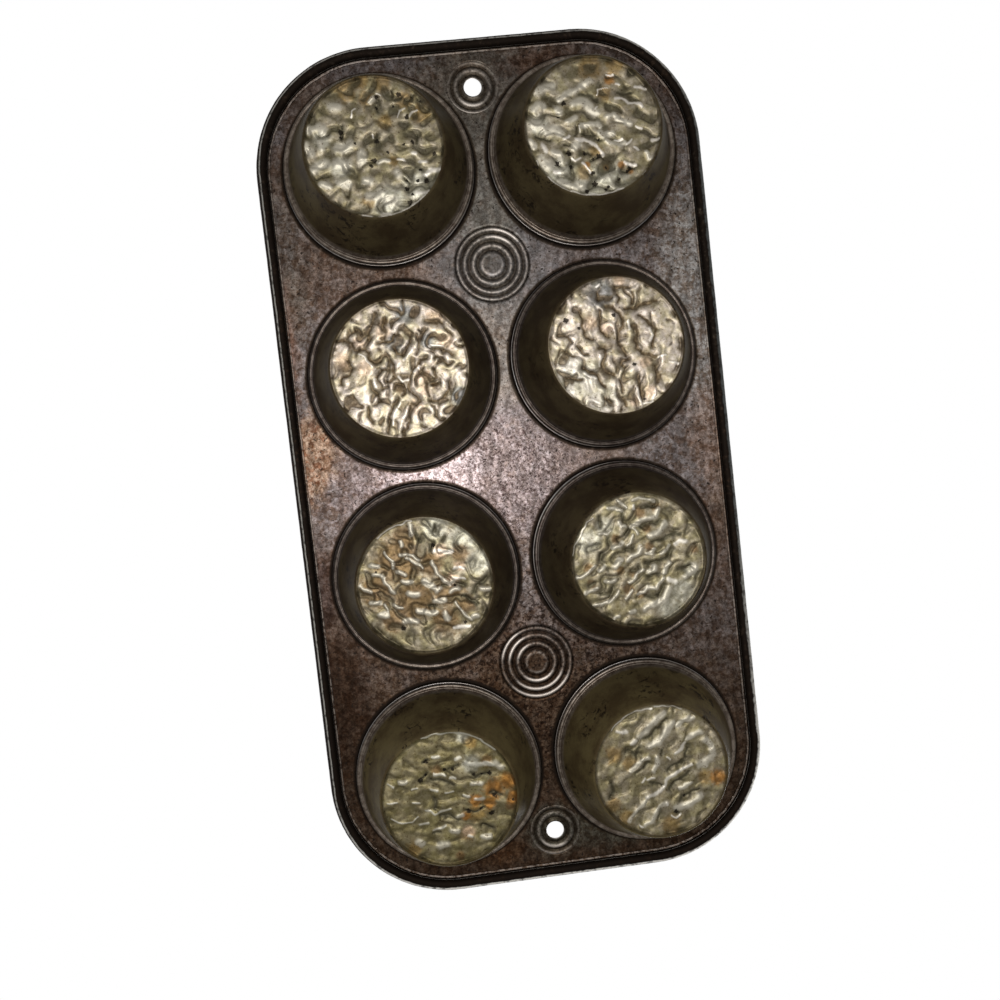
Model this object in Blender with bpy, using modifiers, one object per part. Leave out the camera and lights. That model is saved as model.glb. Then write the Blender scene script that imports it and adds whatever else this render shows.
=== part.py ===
"""Eight-cup muffin pan: a tinned sheet frame rolled round a wire, with eight drawn cups locked into it.

Metres, +Z up, as the pan is used: mouths up, long side along Y, standing on the cup bottoms at Z = 0,
with the origin under the middle of the pan.
"""

from math import acos, cos, pi, radians, sin, sqrt, tan

import bmesh
import bpy
from mathutils import Matrix, Vector

# The set of cups
CUP_COLUMNS = 2
CUP_ROWS = 4
LIP_SPACING = 0.0022  # plate that shows between the lips of two neighbours
PAN_DEPTH = 0.031  # from the plane that the cups stand on to the plate's underside
PLATE_SHEET = 0.0005
CUP_SHEET = 0.0005
CLEARANCE = 0.0003  # between pieces that touch on the real pan

# The seam that locks a cup into the plate
NECK_DIAMETER = 0.0733  # outside of the cup's upright neck, which passes through the plate
COLLAR_BEND = 0.00125  # the turn from the plate down into a collar
COLLAR_DEPTH = 0.002  # how far a collar reaches below the plate
LIP_OVERLAP = 0.0012  # how far a cup's lip covers the flat of the plate
BEAD_RADIUS = 0.00095
BEAD_GRIP = 0.0003  # how far the bead reaches out under the collar's edge

# The cup below its bead
BOTTOM_DIAMETER = 0.0522  # where the wall and the bottom would meet without their rounding
BOTTOM_CORNER = 0.0016

# The rolled edge
RIM_LAND = 0.0041  # flat plate between an outer cup's lip and the rolled edge
WIRE_DIAMETER = 0.0027
HEM_SWEEP = radians(305)
HEM_STEPS = 9

# The pressed rings
RING_HEIGHT = 0.0008
MEDALLION_FLAT = 0.0041  # radius of the flat middle
MEDALLION_RINGS = 3
MEDALLION_LAND = 0.0021  # flat plate between a medallion and the nearest lips
HANG_HOLE_DIAMETER = 0.007
HANG_RINGS = 2
HANG_LIP_LAND = 0.0002  # flat plate between the hanging hole's rings and the nearest lips
HANG_RIM_LAND = 0.0033  # flat plate between the hanging hole's rings and the rolled edge

# Facets
CUP_SEGMENTS = 24
BEAD_STEPS = 4
BEAD_END = radians(-150)
CORNER_STEPS = 2
OUTLINE_STEPS = 8  # to a corner of the plate
MEDALLION_SEGMENTS = 20
HANG_SEGMENTS = 16
WIRE_RESOLUTION = 2
MERGE = 1e-5

# Worked out from the dimensions above
PLATE_TOP = PAN_DEPTH + PLATE_SHEET
NECK_RADIUS = NECK_DIAMETER / 2
COLLAR_INNER = NECK_RADIUS + CLEARANCE
HOLE_RADIUS = COLLAR_INNER + COLLAR_BEND
LIP_RADIUS = HOLE_RADIUS + LIP_OVERLAP
CUP_PITCH = 2 * LIP_RADIUS + LIP_SPACING
END_CUP_X = (CUP_COLUMNS - 1) * CUP_PITCH / 2
END_CUP_Y = (CUP_ROWS - 1) * CUP_PITCH / 2
HEM_STEP = HEM_SWEEP / HEM_STEPS
HEM_RADIUS = (WIRE_DIAMETER / 2 + CLEARANCE + PLATE_SHEET) / cos(HEM_STEP / 2)
FLAT_MARGIN = LIP_RADIUS + RIM_LAND + HEM_RADIUS  # from an outer cup's axis to the end of the flat plate
WIRE_Z = PLATE_TOP - HEM_RADIUS
COLLAR_END = PAN_DEPTH - COLLAR_DEPTH

TIN_PLATE = (0.20, 0.17, 0.155, 1)
TIN_CUP = (0.33, 0.31, 0.25, 1)
STEEL_WIRE = (0.42, 0.41, 0.40, 1)


def clear_scene():
    for item in list(bpy.data.objects):
        bpy.data.objects.remove(item, do_unlink=True)


def new_collection(name):
    collection = bpy.data.collections.new(name)
    bpy.context.scene.collection.children.link(collection)
    return collection


def metal(name, color, roughness):
    material = bpy.data.materials.new(name)
    material.use_nodes = True
    shader = material.node_tree.nodes["Principled BSDF"]
    shader.inputs["Base Color"].default_value = color
    shader.inputs["Metallic"].default_value = 1
    shader.inputs["Roughness"].default_value = roughness
    return material


def add_object(name, data, material, collection):
    item = bpy.data.objects.new(name, data)
    if not data.materials:
        data.materials.append(material)
    collection.objects.link(item)
    return item


def thicken(item, sheet):
    """Gives an open surface its sheet thickness on the side away from its normals."""
    solidify = item.modifiers.new("Sheet", "SOLIDIFY")
    solidify.thickness = sheet
    solidify.offset = -1
    solidify.use_even_offset = True
    solidify.use_quality_normals = True


def cup_centres():
    """Name and axis of each cup, row by row from the front."""
    for row in range(CUP_ROWS):
        for column in range(CUP_COLUMNS):
            side = ("left", "right")[column] if CUP_COLUMNS == 2 else str(column + 1)
            x = column * CUP_PITCH - END_CUP_X
            y = row * CUP_PITCH - END_CUP_Y
            yield f"cup_{row + 1}_{side}", Vector((x, y, 0))


def fillet(corner, before, after, radius, steps):
    """Points of an arc that rounds the corner between the points before and after it."""
    to_before = (before - corner).normalized()
    to_after = (after - corner).normalized()
    half_angle = acos(to_before.dot(to_after)) / 2
    start = corner + to_before * (radius / tan(half_angle))
    centre = corner + (to_before + to_after).normalized() * (radius / sin(half_angle))
    turn = pi - 2 * half_angle
    if (corner - before).cross(after - corner) < 0:
        turn = -turn
    arm = start - centre
    return [centre + arm @ Matrix.Rotation(-turn * i / steps, 2) for i in range(steps + 1)]


def cup_profile():
    """Radius and height of the cup's outer surface, from its lip down to the middle of its bottom."""
    # The lip and the turn below it follow the plate at one clearance.
    turn_shift = CLEARANCE * tan(pi / 8)
    lip_z = PLATE_TOP + CLEARANCE
    points = [
        Vector((LIP_RADIUS, lip_z)),
        Vector((HOLE_RADIUS - turn_shift, lip_z)),
        Vector((NECK_RADIUS, PLATE_TOP - COLLAR_BEND + turn_shift)),
    ]

    # The bead swells out below the collar's edge and locks the cup.
    bead_x = COLLAR_INNER + BEAD_GRIP - BEAD_RADIUS
    bead_start = acos((NECK_RADIUS - bead_x) / BEAD_RADIUS)
    bead_z = COLLAR_END - CLEARANCE - BEAD_RADIUS * sin(bead_start)
    for step in range(BEAD_STEPS + 1):
        angle = bead_start + (BEAD_END - bead_start) * step / BEAD_STEPS
        points.append(Vector((bead_x + BEAD_RADIUS * cos(angle), bead_z + BEAD_RADIUS * sin(angle))))

    # The tapered wall runs straight to the rounded edge of the flat bottom.
    corner = Vector((BOTTOM_DIAMETER / 2, 0))
    middle = Vector((0, 0))
    points += fillet(corner, points[-1], middle, BOTTOM_CORNER, CORNER_STEPS)
    points.append(middle)
    return points


def cup_mesh():
    """The cup's profile as a line of edges in the XZ plane, to be turned about Z."""
    mesh = bpy.data.meshes.new("cup_profile")
    verts = [(point.x, 0, point.y) for point in cup_profile()]
    edges = [(i, i + 1) for i in range(len(verts) - 1)]
    mesh.from_pydata(verts, edges, [])
    return mesh


def make_cups(collection):
    material = metal("tin_cup", TIN_CUP, 0.35)
    mesh = cup_mesh()
    for name, centre in cup_centres():
        cup = add_object(name, mesh, material, collection)
        cup.location = centre
        turn = cup.modifiers.new("Turn", "SCREW")
        turn.steps = turn.render_steps = CUP_SEGMENTS
        turn.use_merge_vertices = True
        turn.merge_threshold = MERGE
        thicken(cup, CUP_SHEET)


def add_loop(bm, points):
    verts = [bm.verts.new(point) for point in points]
    return [bm.edges.new((verts[i - 1], verts[i])) for i in range(len(verts))]


def circle(bm, centre, radius, segments):
    made = bmesh.ops.create_circle(
        bm, segments=segments, radius=radius, matrix=Matrix.Translation((centre.x, centre.y, PLATE_TOP))
    )
    return list({edge for vert in made["verts"] for edge in vert.link_edges})


def outline_points(margin, z):
    """A rounded rectangle, margin outside the outer cups' axes, with its corners centred on the corner cups."""
    points = []
    corners = ((END_CUP_X, END_CUP_Y), (-END_CUP_X, END_CUP_Y), (-END_CUP_X, -END_CUP_Y), (END_CUP_X, -END_CUP_Y))
    for quarter, (x, y) in enumerate(corners):
        for step in range(OUTLINE_STEPS + 1):
            angle = (quarter + step / OUTLINE_STEPS) * pi / 2
            points.append(Vector((x + margin * cos(angle), y + margin * sin(angle), z)))
    return points


def sweep(bm, edges, centre, reach, profile):
    """Extrudes a boundary loop through the profile's points.

    A profile point is a distance from the loop's core and a height. The core is the centre for a round
    loop, and for the outline it is the rectangle through the corner cups' axes, whose half sides are reach.
    """
    for distance, z in profile:
        made = bmesh.ops.extrude_edge_only(bm, edges=edges)["geom"]
        verts = {item for item in made if isinstance(item, bmesh.types.BMVert)}
        for vert in verts:
            x = max(-reach[0], min(reach[0], vert.co.x - centre.x)) + centre.x
            y = max(-reach[1], min(reach[1], vert.co.y - centre.y)) + centre.y
            away = Vector((vert.co.x - x, vert.co.y - y, 0)).normalized()
            vert.co = Vector((x, y, z)) + away * distance
        edges = [edge for edge in bm.edges if edge.verts[0] in verts and edge.verts[1] in verts]
    return edges


def ring_profile(outer, inner, rings):
    """Pressed rings between two radii, from the outside in: each rises to a crest and falls to the plate."""
    width = (outer - inner) / rings
    profile = []
    for ring in range(rings):
        start = outer - ring * width
        profile.append((start - width * 0.38, PLATE_TOP + RING_HEIGHT))
        profile.append((start - width * 0.62, PLATE_TOP + RING_HEIGHT))
        profile.append((start - width, PLATE_TOP))
    return profile


def hem_profile():
    """The rolled edge's outer surface, from the end of the flat plate over the wire and back under it."""
    profile = []
    for step in range(1, HEM_STEPS + 1):
        angle = pi / 2 - HEM_STEP * step
        profile.append((FLAT_MARGIN + HEM_RADIUS * cos(angle), WIRE_Z + HEM_RADIUS * sin(angle)))
    return profile


def medallion_centres():
    """Between the first two rows and between the last two; the place between the middle rows is bare."""
    y = END_CUP_Y - CUP_PITCH / 2
    return [Vector((0, y, 0)), Vector((0, -y, 0))]


def medallion_radius():
    return CUP_PITCH / sqrt(2) - LIP_RADIUS - MEDALLION_LAND


def hang_rings():
    """Radius of the hanging hole's rings and their distance beyond the end cups' axes.

    The outermost ring fills the room between the two end cups' lips and the rolled edge.
    """
    to_rim = LIP_RADIUS + RIM_LAND - HANG_RIM_LAND
    to_lip = LIP_RADIUS + HANG_LIP_LAND
    half_pitch = CUP_PITCH / 2
    radius = (to_rim**2 + half_pitch**2 - to_lip**2) / (2 * (to_rim + to_lip))
    return radius, to_rim - radius


def make_plate(collection):
    """The plate's top surface is laid flat with all its holes, then each edge is formed, then it is thickened."""
    bm = bmesh.new()
    outline = add_loop(bm, outline_points(FLAT_MARGIN, PLATE_TOP))
    cup_holes = [(centre, circle(bm, centre, HOLE_RADIUS, CUP_SEGMENTS)) for _, centre in cup_centres()]
    medallions = [
        (centre, circle(bm, centre, medallion_radius(), MEDALLION_SEGMENTS)) for centre in medallion_centres()
    ]
    ring_radius, beyond = hang_rings()
    hang_centres = [Vector((0, side * (END_CUP_Y + beyond), 0)) for side in (1, -1)]
    hang_holes = [(centre, circle(bm, centre, ring_radius, HANG_SEGMENTS)) for centre in hang_centres]
    bmesh.ops.triangle_fill(bm, edges=bm.edges[:], use_beauty=True, normal=(0, 0, 1))
    for face in bm.faces:
        if face.normal.z < 0:
            face.normal_flip()

    sweep(bm, outline, Vector((0, 0, 0)), (END_CUP_X, END_CUP_Y), hem_profile())
    collar = [(COLLAR_INNER, PLATE_TOP - COLLAR_BEND), (COLLAR_INNER, COLLAR_END)]
    for centre, edges in cup_holes:
        sweep(bm, edges, centre, (0, 0), collar)
    for centre, edges in medallions:
        rings = ring_profile(medallion_radius(), MEDALLION_FLAT, MEDALLION_RINGS)
        inner = sweep(bm, edges, centre, (0, 0), rings)
        bmesh.ops.contextual_create(bm, geom=inner)
    for centre, edges in hang_holes:
        sweep(bm, edges, centre, (0, 0), ring_profile(ring_radius, HANG_HOLE_DIAMETER / 2, HANG_RINGS))

    mesh = bpy.data.meshes.new("frame_plate")
    bm.to_mesh(mesh)
    bm.free()
    mesh.shade_smooth()
    mesh.set_sharp_from_angle(angle=radians(50))
    plate = add_object("frame_plate", mesh, metal("tin_plate", TIN_PLATE, 0.45), collection)
    thicken(plate, PLATE_SHEET)


def make_wire(collection):
    curve = bpy.data.curves.new("rim_wire", "CURVE")
    curve.dimensions = "3D"
    curve.bevel_depth = WIRE_DIAMETER / 2
    curve.bevel_resolution = WIRE_RESOLUTION
    points = outline_points(FLAT_MARGIN, WIRE_Z)
    spline = curve.splines.new("POLY")
    spline.points.add(len(points) - 1)
    for target, point in zip(spline.points, points):
        target.co = (*point, 1)
    spline.use_cyclic_u = True
    add_object("rim_wire", curve, metal("steel_wire", STEEL_WIRE, 0.4), collection)


def main():
    clear_scene()
    pan = new_collection("muffin_pan")
    make_plate(pan)
    make_wire(pan)
    make_cups(pan)


main()
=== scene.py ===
"""Looks of the eight-cup muffin pan.

The pan stands mouths up, as it is used. The camera stands below it and looks up at its underside, so the
floor shows only from above. The sheet is browned and speckled by baking, the cup bottoms are crimped, and
the rolled edge is black with soot on its underside.
"""

from math import acos, cos, degrees, exp, pi, radians, sin, tan

import bmesh
import bpy
import numpy as np
from mathutils import Matrix, Vector


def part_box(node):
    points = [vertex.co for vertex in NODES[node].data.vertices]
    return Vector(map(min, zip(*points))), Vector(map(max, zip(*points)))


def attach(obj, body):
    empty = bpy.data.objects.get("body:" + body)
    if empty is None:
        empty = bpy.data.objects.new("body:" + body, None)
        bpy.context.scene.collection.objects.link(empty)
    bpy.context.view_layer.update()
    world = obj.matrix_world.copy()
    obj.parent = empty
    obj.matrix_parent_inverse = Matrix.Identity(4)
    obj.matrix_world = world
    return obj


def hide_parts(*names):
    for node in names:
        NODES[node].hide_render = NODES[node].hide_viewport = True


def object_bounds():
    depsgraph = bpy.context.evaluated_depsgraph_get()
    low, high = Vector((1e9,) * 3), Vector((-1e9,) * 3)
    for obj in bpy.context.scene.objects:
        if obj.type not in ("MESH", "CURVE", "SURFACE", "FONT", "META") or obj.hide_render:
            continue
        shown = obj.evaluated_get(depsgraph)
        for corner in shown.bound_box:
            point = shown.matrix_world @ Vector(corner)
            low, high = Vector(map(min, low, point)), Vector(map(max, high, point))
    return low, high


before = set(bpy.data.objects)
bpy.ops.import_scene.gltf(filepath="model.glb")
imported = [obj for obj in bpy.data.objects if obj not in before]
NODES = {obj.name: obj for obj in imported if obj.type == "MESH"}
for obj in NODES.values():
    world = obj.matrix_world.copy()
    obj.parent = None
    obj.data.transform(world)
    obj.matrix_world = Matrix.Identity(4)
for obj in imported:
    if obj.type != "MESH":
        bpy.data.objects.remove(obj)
cad_low, cad_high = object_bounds()

MM = 0.001
TINY = 1e-9
CUPS = sorted(name for name in NODES if name.startswith("cup_"))

# Sheet metal, as in the solids
SHEET = 0.5 * MM
CLEARANCE = 0.3 * MM
COLLAR_BEND = 1.25 * MM
COLLAR_DEPTH = 2.0 * MM
LIP_OVERLAP = 1.2 * MM
RING_HEIGHT = 0.8 * MM

# Read from the frame
_, plate_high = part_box("frame_plate")
first_low, first_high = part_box(CUPS[0])
PLATE_TOP = first_high.z - SHEET - CLEARANCE
LIP_RADIUS = (first_high.x - first_low.x) / 2
CUP_PITCH = 2 * (-first_low.x - LIP_RADIUS)
END_CUP_X = CUP_PITCH / 2
END_CUP_Y = 3 * CUP_PITCH / 2
HOLE_RADIUS = LIP_RADIUS - LIP_OVERLAP
COLLAR_INNER = HOLE_RADIUS - COLLAR_BEND
NECK_RADIUS = COLLAR_INNER - CLEARANCE
COLLAR_END = PLATE_TOP - SHEET - COLLAR_DEPTH

# Rolled edge
HEM_RADIUS = 2.2 * MM
HEM_STEPS = 13
FLAT_END = plate_high.x - HEM_RADIUS - END_CUP_X
HEM_Z = PLATE_TOP - HEM_RADIUS
EDGE_CURVE = 0.35 * MM
EDGE_FLAT = 0.35 * MM
EDGE_WEAR = (0.35, 0.55)
SOOT_START = 30
SOOT_FULL = -25

# Pressed rings
MEDALLION_FLAT = 4.1 * MM
MEDALLION_RADIUS = CUP_PITCH / 2**0.5 - LIP_RADIUS - 2.1 * MM
MEDALLION_CRESTS = ((14.0 * MM, 0.45), (11.1 * MM, 0.5), (7.6 * MM, 0.6), (MEDALLION_FLAT, 0.5))
HANG_HOLE = 3.5 * MM
HANG_RADIUS = 10.55 * MM
HANG_CRESTS = ((9.9 * MM, 0.25), (6.9 * MM, 0.45), (HANG_HOLE, 0))
HANG_Y = 151.1 * MM
CREST_WIDTH = 0.42 * MM
RING_FULL_WIDTH = 3.0 * MM
RING_SOOT = 0.62

# Facets
TURN_SEGMENTS = 160
DISC_CELLS = 160
TURN_START = -pi / 4
RING_STEPS = 8
MEDALLION_SEGMENTS = 96
HANG_SEGMENTS = 72
STRAIGHT_STEP = 1.0 * MM
CORNER_SEGMENTS = 96


def arc(centre, radius, start, end, steps):
    """Points of an arc between two angles in degrees, both ends included."""
    points = []
    for step in range(steps + 1):
        angle = radians(start + (end - start) * step / steps)
        points.append((centre[0] + radius * cos(angle), centre[1] + radius * sin(angle)))
    return points


def fillet(before, corner, after, radius, steps):
    """Points of an arc that rounds the corner between the points before and after it."""
    before, corner, after = Vector(before), Vector(corner), Vector(after)
    to_before = (before - corner).normalized()
    to_after = (after - corner).normalized()
    half_angle = acos(to_before.dot(to_after)) / 2
    start = corner + to_before * (radius / tan(half_angle))
    centre = corner + (to_before + to_after).normalized() * (radius / sin(half_angle))
    turn = pi - 2 * half_angle
    if (corner - before).cross(after - corner) < 0:
        turn = -turn
    arm = start - centre
    return [tuple(centre + arm @ Matrix.Rotation(-turn * i / steps, 2)) for i in range(steps + 1)]


def along(start, end, steps):
    """Points between two points, without either."""
    return [
        (start[0] + (end[0] - start[0]) * i / steps, start[1] + (end[1] - start[1]) * i / steps)
        for i in range(1, steps)
    ]


def add_piece(name, verts, faces, attributes, materials, smooth_angle=40):
    """A mesh object that rides on the pan, with one number a vertex for each attribute."""
    mesh = bpy.data.meshes.new(name)
    mesh.from_pydata(verts.tolist(), [], faces)
    for key, values in attributes.items():
        mesh.attributes.new(key, "FLOAT", "POINT").data.foreach_set("value", np.asarray(values, "f"))
    for material in materials:
        mesh.materials.append(material)
    mesh.shade_smooth()
    mesh.set_sharp_from_angle(angle=radians(smooth_angle))
    piece = bpy.data.objects.new(name, mesh)
    bpy.context.scene.collection.objects.link(piece)
    return piece


def thicken(piece, sheet, back_material):
    solidify = piece.modifiers.new("Sheet", "SOLIDIFY")
    solidify.thickness = sheet
    solidify.offset = -1
    solidify.use_even_offset = True
    solidify.use_quality_normals = True
    solidify.material_offset = back_material


# Cup bottoms

FIELD_CELLS = 256
FIELD_SIZE = 64 * MM
BOTTOM_RADIUS = 26.1 * MM
BOTTOM_CORNER = 1.6 * MM
DOME = 0.5 * MM
DOME_FADE = 8 * MM
LIP_EDGE = 0.25 * MM
NECK_GAP = 0.124 * MM
BEAD_RADIUS = 0.95 * MM
BEAD_OVERHANG = 0.3 * MM
VALLEY_SHARE = 0.0047
VALLEY_ROUND = 0.32 * MM
BEAD_LOW = 26.75 * MM
VALLEY_LOW = 24.5 * MM
DOUBLED_SHARE = 0.992
DISC_SHARE = 0.984
CRIMP_REACH = 25.6 * MM
CRIMP_FADE = 1.3 * MM

# What each noise adds to the depth of the crimps, in millimetres, and the gain of their own depth
TROUGH_GAIN = 1.35
SWELL_DEPTH = 0.05
RIPPLE_DEPTH = 0.02
BROAD_DEPTH = 0.10
TOP_HEIGHT = 0.12


def band_noise(rng, wavelength, spread, run=0.0, stretch=1.0):
    """Seeded noise of about one wavelength, longer by stretch along the run, in degrees."""
    frequency = np.fft.fftfreq(FIELD_CELLS, FIELD_SIZE / FIELD_CELLS)
    fx, fy = np.meshgrid(frequency, frequency, indexing="ij")
    c, s = cos(radians(run)), sin(radians(run))
    along_run = (fx * c + fy * s) * stretch
    across = -fx * s + fy * c
    size = np.hypot(along_run, across) * wavelength
    weight = np.exp(-(((size - 1) / spread) ** 2))
    grain = np.fft.fft2(rng.standard_normal((FIELD_CELLS, FIELD_CELLS)))
    field = np.real(np.fft.ifft2(grain * weight))
    return field / field.std()


def smoothstep(low, high, value):
    t = np.clip((value - low) / (high - low), 0, 1)
    return t * t * (3 - 2 * t)


def sample(field, x, y):
    """The field's value at points in metres from its middle, with straight-line blending."""
    u = (x / FIELD_SIZE + 0.5) * FIELD_CELLS
    v = (y / FIELD_SIZE + 0.5) * FIELD_CELLS
    i, j = np.floor(u).astype(int), np.floor(v).astype(int)
    du, dv = u - i, v - j
    wrap = FIELD_CELLS
    low = field[i % wrap, j % wrap] * (1 - du) + field[(i + 1) % wrap, j % wrap] * du
    high = field[i % wrap, (j + 1) % wrap] * (1 - du) + field[(i + 1) % wrap, (j + 1) % wrap] * du
    return low * (1 - dv) + high * dv


# The crimping of each bottom, in millimetres and degrees: run is the angle of its ridges from +X, seen from
# above, stretch how long they are for their width, sway how much they wander, cut how narrow the hollows
# between them are, grime_and_shade how dark those are with grime and painted shade, and clean how bright the
# tin is.
CRIMP_WORDS = ("seed", "wave", "run", "stretch", "sway", "cut", "depth", "grime_and_shade", "clean")
CRIMPS = {
    "cup_4_right": (11, 5.4, 0, 1.1, 0.7, 0.0, 0.32, 0.65, 0.2),
    "cup_4_left": (12, 5.6, 15, 1.6, 0.7, 0.1, 0.34, 0.68, 0.24),
    "cup_3_right": (13, 4.8, 110, 1.5, 1.2, 0.25, 0.27, 0.78, 0.88),
    "cup_3_left": (14, 5.0, 95, 1.8, 1.4, 0.35, 0.27, 0.72, 0.86),
    "cup_2_right": (15, 5.0, 45, 1.6, 1.0, 0.2, 0.36, 0.5, 0.18),
    "cup_2_left": (16, 4.8, 145, 2.0, 0.8, 0.3, 0.36, 0.55, 0.17),
    "cup_1_right": (17, 5.2, 0, 1.8, 0.8, 0.3, 0.28, 0.35, 0.0),
    "cup_1_left": (18, 5.2, 135, 2.2, 0.8, 0.2, 0.32, 0.4, 0.15),
}

# Stains of each bottom as seen from below with the pan's head up: millimetres right and down from its middle,
# then the stain's radius. Pits have no radius of their own.
STAINS = {
    "cup_4_right": {
        "ochre": [(-10, -20, 4), (-5, -24, 3.5), (-3, -17, 3), (4, -9, 3), (17, -12, 4), (11, -17, 3.5),
                  (-2, 20, 2.5), (7, 5, 2), (3, -23, 3.5)],
        "pits": [(1, -18), (1, -14), (-12, -5), (-12, -3), (-7, -1), (1, -2), (5, 2), (0, 5), (-1, 7),
                 (17, -17), (9, -19), (7, -15), (12, -11), (14, -2), (11, -1), (22, 2), (17, 8), (19, 12),
                 (16, 12), (12, 12), (12, 15), (14, 17), (13, 20)],
        "pale": [(17, 14, 7), (6, 20, 7), (-19, -2, 3.5), (-12, 8, 4)],
    },
    "cup_4_left": {
        "ochre": [(4, -12, 3), (-1, -21, 5), (8, -22, 3.5), (1, 9, 2.5), (-3, 17, 3)],
        "rust": [(6, -17, 2), (11, 14, 1.6), (14, 16, 1.4), (5, 15, 1.3), (-2, 14, 1.2)],
        "brown": [(5, 14, 2)],
        "pits": [(-11, -8), (2, 5), (-9, 10), (-8, 15), (13, 16), (14, 15), (0, 12), (2, 11), (-3, 10),
                 (5, 15), (0, 17), (10, 19), (1, 21), (6, 22), (-13, -3), (-2, 24), (5, 23), (-13, 14)],
        "pale": [(-12, 17, 6), (0, 21, 7), (9, 19, 6), (-20, 0, 4)],
    },
    "cup_3_right": {
        "brown": [(-6, -17, 2), (-20, 0, 2.5), (0, 7, 2.5), (10, 2, 1.5), (13, 6, 1.5)],
        "peach": [(-6, -13, 3), (13, -19, 3.5), (8, 3, 3), (-13, 0, 3), (9, 8, 2.5), (17, -10, 3),
                  (-15, -9, 2.5), (-21, -3, 3), (6, 14, 3)],
        "slate": [(-2, -9, 3.5), (2, -20, 4), (10, -10, 3), (22, 10, 4)],
    },
    "cup_3_left": {
        "slate": [(-6, -19, 6)],
        "peach": [(-10, -8, 3), (-4, -6, 2.5), (11, 6, 2.5), (13, 17, 2.5), (7, 21, 2), (1, -24, 2.5)],
        "pale": [(-14, 12, 9), (-5, 19, 7)],
        "pits": [(-1, -11), (-14, -6), (-19, -9), (7, 7), (11, 20)],
    },
    "cup_2_right": {
        "brown": [(-10, -9, 10), (-4, 6, 9), (-18, 2, 7), (8, 2, 7), (13, -12, 4), (8, 13, 6), (-8, -18, 5),
                  (2, -8, 5), (15, 7, 4), (-12, 13, 5)],
        "peach": [(6, -13, 2.5), (13, -7, 2), (10, -2, 2.5)],
        "pale": [(14, -17, 6), (4, -22, 5), (20, -9, 5)],
        "pits": [(3, -15), (11, 0), (-8, 16), (15, 14), (-18, -5)],
    },
    "cup_2_left": {
        "brown": [(0, -18, 2.5), (6, -20, 2), (3, -12, 2), (-19, 3, 2), (-7, 4, 2), (-2, 5, 2), (-18, 9, 2),
                  (-4, 11, 2.5), (21, -4, 2), (-9, -8, 2), (4, -5, 2), (1, 13, 2)],
        "pale": [(-19, -7, 5), (17, 12, 5), (12, 18, 5), (-13, -13, 3.5), (20, 4, 3)],
    },
    "cup_1_right": {
        "ochre": [(10, 6, 3.5), (-13, 19, 3), (7, 14, 2.5), (8, -21, 2.5)],
        "rust": [(22, -6, 3.5), (17, -3, 4), (10, 1, 2.6), (15, 2, 2.5), (24, 0, 2.5), (6, 7, 1.8)],
        "brown": [(14, -14, 2.5), (23, 3, 2), (4, 22, 2), (-5, -11, 2)],
        "peach": [(7, 13, 2.5)],
        "pale": [(8, -13, 3.5), (5, -24, 3)],
        "pits": [(-9, -14), (-9, -9), (-11, -7), (-2, -11), (12, -9), (15, -9), (9, -9), (17, -1), (1, -11),
                 (24, 1), (7, 5), (12, 4), (16, 6)],
    },
    "cup_1_left": {
        "rust": [(22, 3, 3.2)],
        "ochre": [(17, 3, 3), (-18, -6, 3.5), (-13, 18, 3), (-12, -3, 3), (-18, 13, 3), (4, 21, 4)],
        "pits": [(6, 16), (9, 10)],
    },
}
PIT_RADII = (1.0, 0.7, 1.2, 0.8, 0.6)

# Colour and strength of each kind of stain, in the order that they lie over each other
STAIN_TINTS = (
    ("pale", (0.50, 0.49, 0.42), 0.50),
    ("ochre", (0.25, 0.155, 0.050), 0.65),
    ("brown", (0.120, 0.070, 0.030), 0.82),
    ("rust", (0.33, 0.140, 0.026), 0.78),
    ("peach", (0.68, 0.49, 0.35), 0.60),
    ("slate", (0.16, 0.165, 0.17), 0.80),
)
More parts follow.
